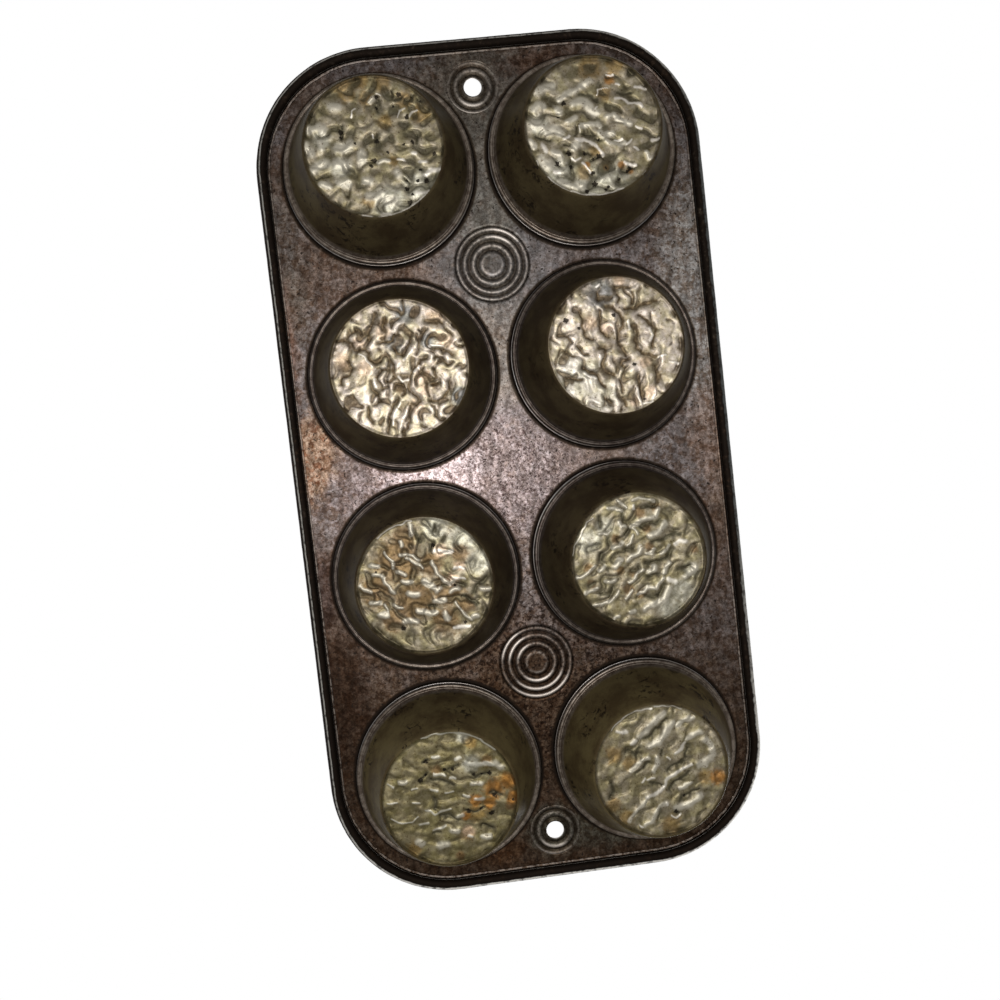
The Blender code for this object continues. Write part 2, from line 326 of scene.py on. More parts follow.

# Lines of the crimping that stand out, each as its width and then its points, in millimetres right and down
# as for the stains. Grooves are hollows darkened by grime and painted shade, ridges are pale crests, partly a
# painted highlight, and gleams are thin painted highlights along edges.
CRIMP_LINES = {
    "cup_4_right": {
        "ridges": (
            (2.5, -15.5, -14, -13, -14), (2.6, -23.5, -5.5, -20, -6.5, -18.5, -5.5),
            (3, -24.5, 0.5, -23, 2.5), (2, -19.5, -1, -19, 1), (3, -13.5, 1, -10.5, 0.5, -9, -0.5),
            (3, -22, 8.5, -19, 7, -17.5, 6.5), (3, -13.5, 6.5, -10.5, 6.5), (2, -19, 14, -16.5, 14.5),
            (2.5, -12.5, 13.5, -9.5, 13.5), (2.5, -4.5, 2.5, -4.5, 5.5), (2.2, -3.5, 12.5, -1.5, 12.5),
            (2.6, -2, 18, 1, 18, 2.5, 16.5), (3, 5, 19, 7, 19.5), (2, 8.5, 9, 9, 10),
            (1.2, 1.5, 6, 3, 5, 5.5, 5), (1.2, -1.5, -16, 0, -17.5)),
        "gleams": (
            (1.2, 8.5, 4.5, 11, 4.5), (1.6, 14, 2, 15, 2), (1.6, 17, 5, 19, 5),
            (2, 18.5, 9.5, 21, 8, 24, 8), (2, 16, 16.5, 19.5, 16, 20, 17.5), (0.6, 1, -19, 2.5, -18.5),
            (0.7, 8.5, -11, 9, -13, 11, -14), (0.8, 13, -11, 14, -13, 15.5, -13.5),
            (0.8, -8.5, -10.5, -8, -12.5, -6.5, -13.5), (0.6, -0.5, -4.5, 0, -3), (2, 3, 24.5, 5.5, 24.5),
            (0.9, -4, 25, 0, 25.8, 5, 25.3, 9, 24, 13, 22, 17, 18.8, 21, 15.3)),
        "grooves": (
            (1.6, 1, -4.5, 1, -2, 1.5, 0), (1.4, 1, -18, 1, -16.5), (1, 1, -14.5, 1.5, -12.5),
            (1.2, 16, -17.5, 17.5, -16.5), (1.8, 18.5, 10, 19.5, 12.5), (0.7, 11, 11, 13, 13),
            (0.8, 15.5, -4.5, 15.5, -1.5), (0.8, 11.5, -17, 13.5, -17, 14, -18.5),
            (0.7, 6.5, -20.5, 6.5, -18), (0.8, -21, 12, -19.5, 11, -17, 11), (1.6, -20, -3.5, -19, -4),
            (1, 7.5, -17, 10, -17.5), (0.9, -12, -7.5, -11.5, -5, -12, -2.5), (2, -8, 9, -10, 8)),
    },
    "cup_4_left": {
        "ridges": (
            (2.4, -21, -12, -18, -13.5, -15, -14.5), (2, -12.5, -9.5, -10, -11.5, -6.5, -13),
            (2, -5, -14, -3, -15.5, -1, -16.5), (2.2, -22, -5.5, -20.5, -7, -18.5, -7),
            (1.8, -13.5, -6, -12, -4.5), (2.4, -7.5, -8, -5, -9, -3, -9, -1.5, -7.5, -0.5, -5.5, 1, -5),
            (2.6, -23, -0.5, -20, 0, -17, 2, -13.5, 1.5, -12, 3), (1.6, -9.5, -1.5, -8, -2, -6.5, -3),
            (1.6, -4, 0, -1, -0.5, 1.5, -1, 2.5, 0), (1.8, 2.5, 2, 4, 3.5, 7, 2.5),
            (2.2, -7, 8, -5.5, 6.5), (1.6, 5.5, -3.5, 7.5, -4.5, 9, -3, 11.5, -2, 14, -1),
            (1.4, 5, 5, 7, 6, 9.5, 6.5, 11.5, 6), (1.8, -23, 6, -21.5, 8),
            (1.8, -14.5, 9.5, -12, 11, -12, 13), (3, -19, 12.5, -17, 14.5),
            (2.2, -12, 20.5, -8, 22, -4, 22), (1.4, 4, 19, 6, 18.5), (1, 20, 9, 21.5, 11.5, 23, 10.5)),
        "gleams": (
            (1.3, 8, -10, 10.5, -10.5, 12, -9.5, 13.5, -8.5, 15.5, -9, 17.5, -8.5, 18.5, -7.5),
            (1.3, 15.5, -15, 17.5, -15, 19.5, -14), (0.5, 1, -11.5, 2, -13.5, 3.5, -14, 5.5, -14),
            (0.8, 5, -19, 6.5, -18.5, 7.5, -19), (0.8, 8.5, -15.5, 10, -15), (0.8, 1, -6.5, 1.5, -7),
            (0.5, -5, 0, -5, 2), (1.2, -10.5, 5, -9, 3.5),
            (1.3, -6.5, 5, -3.5, 5, -1, 5.5, 1.5, 7.5, 4, 10.5), (1, 8.5, 5, 11, 4.5),
            (1, 12.5, 6.5, 14.5, 4.5), (1.2, 15.5, 7.5, 17, 8.5), (0.9, 16.5, -0.5, 18.5, 0.5),
            (1.4, 22.5, 4.5, 24.5, 4), (2, -18.5, 7.5, -17.5, 9.5), (0.9, -8, 12, -6.5, 12.5, -4.5, 11.5),
            (0.9, -4, 13.5, -2, 15, -1, 16.5), (1.2, 12, 13, 14.5, 14, 16.5, 13.5),
            (1.6, -14, 17, -12.5, 17),
            (0.8, -16.5, 19, -14, 21.3, -11, 23, -7, 24.5, -3, 25.2, 1, 25, 4.5, 24.7, 8, 23.8, 11.5, 22.5),
            (0.6, 18.5, 17.5, 20, 16), (0.6, -21, 13, -20, 15)),
        "grooves": (
            (1.3, -12.5, -8.5, -10.5, -9), (1.8, -5, -11.5, -2, -11.5, 0, -10.5, 1.5, -9),
            (0.9, -6, 0.5, -6, 2.5, -6.5, 3.5), (1.2, -4, 3, -1, 3, 1, 3.5), (0.9, 1, 4.5, 2, 5.5, 3, 5),
            (0.7, -10.5, 7, -8.5, 7), (1.5, -10, 9.5, -8, 9.5), (1.2, -4.5, 10, -2, 9.5, -1, 10.5),
            (1, -0.5, 12.5, 1.5, 11.5, 3.5, 11), (1.3, -8, 13, -8, 16), (1.2, 11, 15.5, 13, 16.5),
            (1, 14, 15, 15.5, 15), (0.8, 9.5, 18.5, 10, 20), (1.4, 9, -12.5, 14, -12.5),
            (1.4, -21, 4, -16, 5.5)),
    },
    "cup_3_right": {
        "ridges": (),
        "gleams": (
            (0.9, -14.5, -5, -13, -4, -10, -0.5), (0.9, 4.5, -7, 3, -4.5, 1, -3),
            (0.8, -0.5, 3, 1, 5, 3, 4), (1, 5.5, 1.5, 7, -1), (0.9, 11, -8.5, 16, -8.5),
            (0.9, -9, 4, -9, 7), (0.9, 0, 12.5, -2, 17, -2.5, 21)),
        "grooves": (
            (1.5, -23.5, -9.5, -20, -10, -17.5, -9, -16.5, -6.5, -14.5, -6.5, -12.5, -7.5, -11.5, -5.5,
             -11.5, -3.5, -9, -2, -7, -2.5),
            (1.2, -17.5, -13, -15, -14, -14, -12.5), (2, -11.5, -10, -11.5, -13.5, -10, -16.5, -9, -20),
            (1.2, -8.5, -9, -5.5, -9.5, -2.5, -10, -2, -12.5), (1.3, -6.5, -14, -5.5, -16.5, -5.5, -18.5),
            (1.5, -2, -7, -1, -5, 1, -5, 2.5, -7, 4, -10, 4, -12.5),
            (0.9, 6, -12.5, 7, -10, 7, -7, 6, -5),
            (1.6, -3.5, -2.5, -2.5, -1.5, -2.5, 1.5, -1.5, 3.5, -3.5, 5, -5, 5),
            (1, -4.5, 0.5, -7, 1, -8.5, 3.5, -7.5, 6, -6, 7.5, -4.5, 7),
            (1.2, -10.5, 5, -10, 8, -8, 10, -7.5, 12, -9, 13.5),
            (0.9, -2.5, 7.5, -1.5, 6, 1, 6, 2.5, 7.5, 1, 10),
            (1.6, 3.5, 8.5, 3.5, 5, 4, 2.5, 6, -0.5, 8, -3, 9.5, -3.5),
            (0.9, 6, 6, 6, 4, 7.5, 1.5, 9, -0.5),
            (0.9, 12.5, -3.5, 13.5, -4.5, 15.5, -4.5, 16.5, -2.5, 17.5, -1.5, 19.5, -2.5),
            (1.6, 12.5, -7, 15, -7, 19.5, -5.5), (1.3, 12.5, 0, 13, 1.5, 13.5, 3.5, 11.5, 4.5),
            (0.9, 11.5, 6, 13.5, 6, 15, 5), (0.8, 10, 5, 10, 7.5, 11, 10),
            (1.6, 18.5, 5, 18, 8, 16, 11, 14, 12, 11, 12), (1, 4.5, 9, 6, 10, 7.5, 12, 6, 13.5, 4, 13),
            (1.2, -0.5, 11, -2, 12.5, -2.5, 15, -4, 18, -4, 21, -4.5, 23.5),
            (0.9, 3.5, 13.5, 4, 16, 3.5, 19, 3, 22, 1, 23.5), (1.3, -11.5, 14, -11.5, 17.5, -10, 20),
            (1.6, -19, -2.5, -17.5, 0, -18.5, 2.5, -21, 3.5, -21.5, 6),
            (1.5, 9.5, -17.5, 14.5, -17.5, 15.5, -16.5), (0.8, 13, 17.5, 16.5, 20),
            (0.8, 11.5, 13.5, 13, 14, 13.5, 15.5), (0.8, 7, -14, 8.5, -13, 10, -14.5)),
    },
    "cup_3_left": {
        "ridges": (),
        "gleams": (
            (0.8, 12.5, -6.5, 13.5, -4, 12.5, -2), (0.7, -6, 3.5, -6, 8), (0.8, -12, 10.5, -7.5, 12.5),
            (0.8, 8, 16, 9, 20, 10, 22, 13.5, 21, 15, 18.5, 15, 16), (0.8, 16, 4.5, 19, 3.5),
            (0.8, 20.5, 6, 23.5, 6.5), (0.9, -7.5, -21.5, -6.5, -22.5), (0.9, 4.5, -9, 5, -6)),
        "grooves": (
            (1.5, -14, -12.5, -13, -10, -12.5, -7, -12, -4, -11, -2.5, -8.5, -2),
            (1.3, -6.5, -12.5, -6, -10, -6, -7, -5.5, -5, -3.5, -3.5, -2.5, -3),
            (2.2, -4, -14, -1.5, -14, 1, -12, 2.5, -9.5, 2.5, -7, 1, -5, 0.5, -2.5, 1, -0.5, 2.5, 1.5, 3.5,
             3.5),
            (2.2, 5, -7.5, 7.5, -7, 8, -5.5, 7.5, -3.5, 7.5, -1.5, 8, 1, 10, 2.5, 12.5, 3.5, 15, 4),
            (1.8, 8.5, -11, 11, -9.5, 13.5, -7.5, 15, -6, 14.5, -4, 13.5, -2, 14, 0.5),
            (1.3, 0.5, -19, 1, -17.5, 0.5, -16), (1.2, 6, -20, 6.5, -17.5, 6, -15.5),
            (2, 3, -13.5, 6, -13.5, 8.5, -15, 12.5, -16, 15, -16.5), (1.5, -0.5, -21.5, 5, -21.5),
            (1.5, -7, -19, -7, -16.5), (1, -21.5, -3.5, -18, -2.5, -16.5, -0.5),
            (0.9, -20, 2.5, -18, 3, -16.5, 4, -15, 4), (1.3, -14.5, 0.5, -12, 3.5, -10.5, 3.5),
            (2, -6.5, 1, -4.5, 1, -4, 3.5, -5, 6, -5, 8.5, -3.5, 10, -0.5, 11),
            (1.8, 5, 5, 2.5, 5.5, 2, 7, 3.5, 8.5), (1.6, -12.5, 8.5, -10, 10, -7, 11, -6, 13.5, -4, 15.5),
            (0.9, -19, 12.5, -16.5, 12, -14.5, 13, -12.5, 13), (1.6, 1.5, 13, 2.5, 15, 2.5, 17.5),
            (1.8, 3, 20, 4, 22.5), (2.2, 8.5, 11.5, 9, 15, 10, 19), (2.5, 15, 8, 16, 11, 16, 13.5),
            (1.5, -4, 19.5, -2, 21.5)),
    },
    "cup_2_right": {
        "ridges": (
            (1, -9, -11.5, -7, -11.5, -4.5, -11, -2.5, -9.5), (0.8, -7, -10, -4, -9, -2, -7.5, -1, -6.5),
            (1.2, -19, -4, -16.5, -4, -15, -2.5, -14.5, -0.5, -13, 1, -11.5, 2.5),
            (1, -9, -16.5, -8.5, -14.5), (1.5, -5.5, -22.5, -5, -19),
            (0.9, -15, -12.5, -14, -10.5, -12, -9, -11.5, -6.5), (1.4, -20, -7.5, -17.5, -7),
            (1.2, -8, -1.5, -5, -1), (1.6, -0.5, -1.5, 2.5, 0, 4.5, 2, 5.5, 1),
            (1.6, -6, 3, -4, 3.5, -2.5, 3.5), (1, -24, 0, -22.5, 1.5, -20, 2.5),
            (1.2, -20, 6.5, -16.5, 6.5), (0.8, -15, 7, -14, 9, -13.5, 11),
            (0.9, -11.5, 7.5, -10, 8.5, -8.5, 8.5), (1.5, -16.5, 11, -14, 11),
            (1.6, -7.5, 13.5, -5.5, 13, -3, 13.5), (1.6, -2.5, 9.5, 0, 10, 1.5, 10.5, 4, 10),
            (1.5, 3.5, 6, 7.5, 5.5), (1, 2.5, -9, 3.5, -6.5, 5, -4, 7.5, -1.5, 9.5, -0.5, 11, -1.5),
            (1.6, 10, 2, 12.5, 1), (1.6, 7.5, 10.5, 8.5, 12.5), (0.8, 11, 6.5, 15, 11, 17.5, 13),
            (1.4, 18, 12, 19.5, 11.5), (1.2, -10, -5, -7.5, -4), (1.2, 21, 1.5, 24, 1.5)),
        "gleams": (
            (1.8, 3.5, -13, 10, -12.5), (1.6, 11, -6.5, 14, -6.5), (1.2, 10.5, -2.5, 15, -2.5),
            (1.6, 11, 16, 14, 15.5, 16.5, 15.5),
            (0.6, -17.5, -17.5, -16.5, -19, -12.5, -21.5, -9, -23, -5, -24)),
        "grooves": (
            (1.2, 6.5, 0, 11.5, -1, 14.5, 0), (0.9, 2, -13, 2, -15, 3.5, -16),
            (1, 14, 4, 17, 5, 19.5, 7.5), (1, -4, -20.5, -2.5, -17.5, -1.5, -16.5),
            (1, 3.5, -20.5, 4, -22.5), (1, 6.5, -16.5, 7.5, -18), (1.3, 18, 3, 19.5, 0, 23, -2.5),
            (1, 1.5, 7.5, 4, 7.5)),
    },
    "cup_2_left": {
        "ridges": (
            (0.9, -2.5, -22.5, 0, -23.5, 3.5, -22.5, 5.5, -22.5), (0.8, -8, -22.5, -7, -21.5, -5, -20),
            (1.1, -12, -19.5, -9, -19.5, -6.5, -18.5),
            (1.5, -2.5, -12.5, 0, -14.5, 3, -15.5, 6, -16.5, 7.5, -19), (1, -2.5, -12.5, -0.5, -10),
            (0.9, -4.5, -5.5, -3, -6.5, -2.5, -9), (0.9, -7.5, -14.5, -7, -12.5, -5, -12.5),
            (1.6, 4, -9, 6.5, -10, 8.5, -11.5, 10, -14), (1, 3, -2.5, 5, -2.5, 6, -4),
            (1, 8.5, -2.5, 11, -4, 11.5, -5.5), (1.3, -4, 0, -2.5, -1.5, 0, -2.5, 0.5, -5),
            (1.6, -9, 2.5, -8, 1, -7, 0), (1.2, -10, -5, -7.5, -5, -6.5, -6.5),
            (0.8, -15, -10, -12, -10, -11, -11), (1.2, -15, 4, -13, 2.5),
            (1.1, -23.5, 6.5, -21.5, 6.5, -19, 4.5, -16.5, 2.5), (1, -20, 12.5, -18, 11.5, -16, 11),
            (1, -12.5, 8, -10.5, 8.5, -9, 7.5), (1.1, -16.5, 17, -14, 17, -11.5, 16, -9, 14, -7.5, 12),
            (0.8, -5, 14.5, -3.5, 13.5, -2.5, 11.5), (1, -3.5, 8.5, -2, 7.5, -0.5, 5.5, 1.5, 3.5),
            (1.3, 3.5, 4.5, 6, 4, 6, 2.5), (1.2, 10, 5, 10.5, 2.5, 12, 1),
            (1.1, 0, 13, 2, 12, 3.5, 10.5, 6.5, 11, 8, 9, 9.5, 7),
            (1.8, 2.5, 18.5, 5, 17, 8, 16, 10, 15, 11, 13, 11.5, 11), (1.6, 17.5, 6.5, 20, 5, 21.5, 2.5),
            (1, -3, 20, -1.5, 19.5), (1, -9, 22, -7.5, 21.5)),
        "gleams": (
            (2, 14, -6, 15.5, -7, 17.5, -7), (2, 11.5, 7.5, 14, 8.5), (1, -2, -20.5, -2, -19),
            (0.6, -25, -2, -24.5, -5.5, -22.5, -8.5, -20, -14, -17.5, -16)),
        "grooves": (
            (1.1, -5.5, -19.5, -6.5, -16.5, -6, -14.5), (1.2, -5, -10, -3.5, -12.5, -2.5, -14),
            (1.1, 1, -20, 6, -20), (1.4, 0.5, -12.5, 3.5, -14, 6, -14, 8.5, -15),
            (1.3, 5, -7, 8.5, -7.5, 12.5, -9.5, 16, -10), (1.6, -5, -4, -2, -4),
            (2, -2.5, 4, 0, 4, 0, 2.5), (1.5, -19, 10, -16.5, 8.5),
            (1.6, 2.5, 1, 5, 1, 8, 0.5, 10.5, -0.5, 13, -4), (1.2, 3, 6, 5, 5.5, 8, 5.5),
            (1.8, 2.5, 13.5, 6, 14, 8.5, 12.5, 10, 9.5), (1.6, -14, -2, -14, 1, -11.5, 3.5),
            (1.3, 15, 3.5, 18, 2.5, 21, 2.5), (1.2, -15, -16.5, -14.5, -12.5),
            (1.3, -11.5, -8.5, -11.5, -5.5), (1.8, -14, 13, -11.5, 13, -10, 11)),
    },
    "cup_1_right": {
        "ridges": (
            (2.2, -3.5, 18, -1, 17.5), (1.6, 1, 12.5, 3, 12.5), (1.6, 12.5, 15, 15, 15),
            (1.4, 8.5, -5.5, 12, -5.5), (1.2, -19, -6, -16.5, -6.5), (1.2, 5, 6.5, 3, 7),
            (2, 17, -13, 19.5, -11.5), (2, -12, 16.5, -10.5, 17)),
        "gleams": (
            (1.4, -6.5, -16, -4, -15.5), (1.4, 2, -14.5, 4, -15.5),
            (1.8, 6, -13.5, 9.5, -12.5, 13, -13, 16, -12.5), (1.2, -6, -9, -2, -9),
            (1.2, 0, -7.5, 2, -7.5), (1.2, -7, -3.5, -5, -3), (0.9, -1.5, -2, 1.5, -2.5),
            (1.3, 5, -1, 7.5, -0.5), (0.9, -23, -5.5, -21, -4.5), (0.8, -14.5, -3.5, -12, -4),
            (0.8, -23.5, 1.5, -19.5, 1.5), (0.8, -14, 1.5, -11.5, 2),
            (1, -9, 4.5, -7, 5, -5.5, 6, -3, 5, 0.5, 4), (0.7, -22, 7.5, -19, 9, -14, 9, -12, 7),
            (1, -11, 10, -8, 9.5), (1, -6, 12, -3.5, 11.5, -1.5, 10.5), (1.3, 7, 14.5, 8.5, 15),
            (1.8, 9.5, 0.5, 12.5, 0.5),
            (0.8, -10.5, -22.8, -5.5, -24.6, 0.5, -24.8, 6.5, -24.3, 11, -22.6, 17, -18.3)),
        "grooves": (
            (1.6, -7, -7.5, -2.5, -7, 1, -5), (1.3, 8, -9.5, 10, -8, 14.5, -9),
            (0.8, -11, -7.5, -8.5, -9.5), (0.7, -10, -13.5, -8.5, -14.5), (1.2, -5.5, 0, -5.5, 3.5),
            (1, 6, 4.5, 9.5, 5.5, 13, 3.5), (1.3, -3, 6.5, 0.5, 6.5, 3.5, 8.5),
            (1.2, 12.5, 10.5, 16, 11.5), (1.2, 15.5, -2, 19.5, -1), (1, -6, 13.5, -4, 13),
            (1.2, 0, -11, 3, -12.5)),
    },
    "cup_1_left": {
        "ridges": (
            (1.8, -8.5, -13, -6, -15, -3.5, -18, -1.5, -20, 1, -22),
            (2.2, -4.5, -9.5, -1, -11, 0.5, -13, 2.5, -16, 4, -18),
            (1.3, -11.5, 0, -9, -2.5, -7, -4, -5, -5), (1.5, -3, 0, -1.5, -2.5, -1.5, -5),
            (1.2, -12, 19.5, -10, 16.5, -7.5, 13.5, -5, 10.5),
            (1.4, -6, 21, -3.5, 20, -2, 17, -0.5, 14, 2, 13), (1.2, 7.5, 7, 9.5, 6, 11.5, 5),
            (2, 6, 14.5, 9, 14, 12, 13, 15.5, 10), (1.6, 10, -12, 12, -13.5, 15, -14.5),
            (2, 17, -12, 19.5, -9, 20, -6, 16.5, -2), (1.4, 6, -17, 8.5, -19, 12, -20),
            (2.2, 15, -2, 19, -4)),
        "gleams": (
            (1.8, -11, -10.5, -10, -11.5), (1.6, -17, -15, -13.5, -15),
            (1.4, 5.5, -6.5, 7.5, -8, 9.5, -10.5), (0.9, 2, -5, 3.5, -4), (1.2, -7.5, 4.5, -6, 2.5),
            (1.3, -5, 3.5, -3, 3),
            (1.6, -5.5, 10, -3, 9.5, 0, 8, 1.5, 6, 2, 4, 3.5, 2.5, 6, 1, 9, -1, 11.5, -2),
            (1, -8, 21.5, -7, 21.5), (0.9, 4, 17.5, 6, 18.5, 7.5, 17), (1.1, 2, 13, 2.5, 13.5),
            (0.8, -19, -15.8, -17, -18.3, -14.5, -20.5, -11, -22.4, -8, -23.6, -4, -23.8),
            (0.7, -3, -24.3, 0, -24.9, 4, -24.5, 7.5, -23.7)),
        "grooves": (
            (2, -8, -12, -5, -12.5, -2, -15.5, 0.5, -18, 2, -19.5), (1.5, -9.5, 1, -7, -1, -5, -3),
            (0.9, -4.5, 5, -2, 5, 0.5, 6), (1.6, 3.5, 7, 5, 4.5, 8, 3, 10.5, 1),
            (1.2, 9.5, -5, 9.5, -7.5, 10.5, -9.5), (1.4, 2.5, 0, 5, -2, 8.5, -3), (0.9, 0.5, -6, 0, -8),
            (1.3, 7.5, 12, 8.5, 10, 12, 9, 14.5, 7.5), (1.2, 6, 15.5, 7, 17),
            (2, -13, -7.5, -10, -6, -8.5, -8.5), (1.2, 0, 15, -1, 18),
            (0.6, -10.5, 18.5, -8.5, 16, -5, 11.5), (1, -19, 4, -18.5, 8, -19.5, 11)),
    },
}
LINE_WOBBLE = 0.16 * MM
GLEAM_REACH = 25.7 * MM
GLEAM_FADE = 0.4 * MM
# Where the painted shade over the disc's rim starts, and how much further in it starts on the outward side.
EDGE_START = 23.8 * MM
EDGE_LEAN = 1.2 * MM
RIDGE_HEIGHT = 0.42
GLEAM_HEIGHT = 0.15
GROOVE_DEPTH = 0.30
# The halo is painted shade: a wider, softer darkening round each traced groove, with a shallow dip.
HALO_SPREAD = 1.25
HALO_SHADE = 0.60
HALO_DEPTH = 0.30
HALO_NOISE = 0.3

# How far each kind of line spreads to its sides, in widths
LINE_SPREADS = {"ridges": 0.7, "gleams": 0.5, "grooves": 0.5}


def crimp_fields(crimp):
    """Depth of the crimps below their crests, how dark a hollow is with grime and painted shade, and two
    wobbles for the traced lines.
    """
    rng = np.random.default_rng(crimp["seed"])
    steps = (np.arange(FIELD_CELLS) / FIELD_CELLS - 0.5) * FIELD_SIZE
    x, y = np.meshgrid(steps, steps, indexing="ij")
    sway = crimp["sway"] * MM
    x = x + sway * band_noise(rng, 9 * MM, 0.4)
    y = y + sway * band_noise(rng, 9 * MM, 0.4)
    waves = band_noise(rng, crimp["wave"] * MM, 0.3, crimp["run"], crimp["stretch"])
    hollow = -sample(waves, x, y) - crimp["cut"]
    strength = 0.55 + 0.45 * smoothstep(-1.4, 0.2, band_noise(rng, 24 * MM, 0.5))
    trough = strength * smoothstep(-0.45, 1.15, hollow)
    grime_and_shade = strength * crimp["grime_and_shade"] * smoothstep(-0.25, 0.65, hollow)
    top = strength * smoothstep(0.1, 1.3, sample(waves, x, y))
    swell = band_noise(rng, 4.4 * MM, 0.35)
    ripple = band_noise(rng, 2.2 * MM, 0.35)
    broad = band_noise(rng, 16 * MM, 0.4)
    depth = TROUGH_GAIN * crimp["depth"] * trough + SWELL_DEPTH * swell + RIPPLE_DEPTH * ripple
    depth = depth + BROAD_DEPTH * broad - TOP_HEIGHT * top
    wobbles = [band_noise(rng, 4.5 * MM, 0.4) for _ in range(2)]
    return {"depth": depth, "groove": grime_and_shade, "top": top, "wobble_x": wobbles[0], "wobble_y": wobbles[1]}


def from_below(right, down):
    """The way on the pan of a place named in millimetres right and down, as the camera sees it."""
    turn = radians(CAMERA_ROLL)
    x = -right * cos(turn) - down * sin(turn)
    y = right * sin(turn) - down * cos(turn)
    return x * MM, y * MM


def stain_amount(spots, x, y):
    """One in the middle of each spot, falling to nothing about twice its radius away."""
    amount = np.zeros(len(x))
    for place, (right, down, *radius) in enumerate(spots):
        spot_x, spot_y = from_below(right, down)
        reach = (radius[0] if radius else PIT_RADII[place % len(PIT_RADII)]) * MM
        near = np.exp(-(np.hypot(x - spot_x, y - spot_y) / reach) ** 2)
        amount = np.maximum(amount, near)
    return amount


def line_amount(lines, x, y, spread):
    """One along the middle of each line, falling softly to nothing over its width times the spread."""
    amount = np.zeros(len(x))
    for width, *numbers in lines:
        places = [from_below(right, down) for right, down in zip(numbers[::2], numbers[1::2])]
        away = np.full(len(x), np.inf)
        for (start_x, start_y), (end_x, end_y) in zip(places, places[1:]):
            run_x, run_y = end_x - start_x, end_y - start_y
            share = ((x - start_x) * run_x + (y - start_y) * run_y) / (run_x**2 + run_y**2)
            share = np.clip(share, 0, 1)
            away = np.minimum(away, np.hypot(x - start_x - share * run_x, y - start_y - share * run_y))
        amount = np.maximum(amount, np.exp(-((away / (spread * width * MM)) ** 2)))
    return amount


def disc_grid():
    """A square grid bent into a unit disc, and its outer ring in order from the turn's start."""
    steps = np.linspace(-1, 1, DISC_CELLS + 1)
    a, b = np.meshgrid(steps, steps, indexing="ij")
    wide = np.abs(a) > np.abs(b)
    safe_a = np.where(wide, a, 1)
    safe_b = np.where(wide | (b == 0), 1, b)
    turn = np.where(wide, pi / 4 * b / safe_a, pi / 2 - pi / 4 * a / safe_b)
    reach = np.where(wide, a, b)
    n = DISC_CELLS
    ring = [(n, j) for j in range(n)] + [(i, n) for i in range(n, 0, -1)]
    ring += [(0, j) for j in range(n, 0, -1)] + [(i, 0) for i in range(n)]
    return reach * np.cos(turn), reach * np.sin(turn), [i * (n + 1) + j for i, j in ring]


def cup_section():
    """Radius and height of the cup's outer surface from its lip to the edge of its flat bottom."""
    lip_z = PLATE_TOP + CLEARANCE
    bead = BEAD_RADIUS
    bead_x = COLLAR_INNER + BEAD_OVERHANG - bead
    bead_start = acos((NECK_RADIUS - bead_x) / bead)
    bead_z = COLLAR_END - CLEARANCE - bead * sin(bead_start)
    bend = HOLE_RADIUS - NECK_GAP - NECK_RADIUS

    points = [(LIP_RADIUS, lip_z), (LIP_RADIUS - LIP_EDGE, lip_z)]
    points += arc((NECK_RADIUS + bend, lip_z - bend), bend, 90, 180, 7)
    points += arc((bead_x, bead_z), bead, degrees(bead_start), -120, 16)

    # The valley under the bead, then the wall down to the rounded edge of the bottom.
    wall_top = (bead_x + bead * cos(radians(-150)), bead_z + bead * sin(radians(-150)))
    wall = Vector((BOTTOM_RADIUS, 0)) - Vector(wall_top)
    valley = Vector(wall_top) + wall * VALLEY_SHARE
    points += fillet(points.pop(), valley, (BOTTOM_RADIUS, 0), VALLEY_ROUND, 5)
    corner = fillet(wall_top, (BOTTOM_RADIUS, 0), (0, 0), BOTTOM_CORNER, 7)
    points += along(points[-1], corner[0], 9)
    points += corner
    return points


def ring_of(radius, z, segments):
    angles = TURN_START + 2 * pi * np.arange(segments) / segments
    return np.stack([radius * np.cos(angles), radius * np.sin(angles), np.full(segments, z)], axis=1)


def doubling(start, inner, count):
    """Triangles from a ring of count vertices to an inner ring of twice as many."""
    faces = []
    for j in range(count):
        k = (j + 1) % count
        near, middle, far = inner[2 * j], inner[2 * j + 1], inner[(2 * j + 2) % (2 * count)]
        faces.append((start + j, near, middle))
        faces.append((start + j, middle, start + k))
        faces.append((start + k, middle, far))
    return faces


def cup_mesh():
    """Vertices and faces of a cup's outer surface about its own axis, its bottom still flat."""
    section = cup_section()
    rings = [ring_of(radius, z, TURN_SEGMENTS) for radius, z in section]
    faces = []
    count = TURN_SEGMENTS
    for row in range(len(rings) - 1):
        for j in range(count):
            k = (j + 1) % count
            top, low = row * count, (row + 1) * count
            faces.append((top + j, low + j, low + k, top + k))

    # A ring of doubled steps, and then the disc's edge, join the wall to the finer bottom.
    edge_radius = section[-1][0]
    start = (len(rings) - 1) * count
    fine = 2 * count
    rings.append(ring_of(edge_radius * DOUBLED_SHARE, 0, fine))
    faces += doubling(start, list(range(start + count, start + count + fine)), count)
    start += count
    count = fine

    disc_x, disc_y, edge = disc_grid()
    first = start + count
    faces += doubling(start, [first + place for place in edge], count)
    n = DISC_CELLS + 1
    for i in range(DISC_CELLS):
        for j in range(DISC_CELLS):
            corner = first + i * n + j
            faces.append((corner, corner + 1, corner + n + 1, corner + n))
    disc = np.stack([disc_x.ravel(), disc_y.ravel(), np.zeros(n * n)], axis=1)
    disc[:, :2] *= edge_radius * DISC_SHARE
    return np.concatenate(rings + [disc]), faces


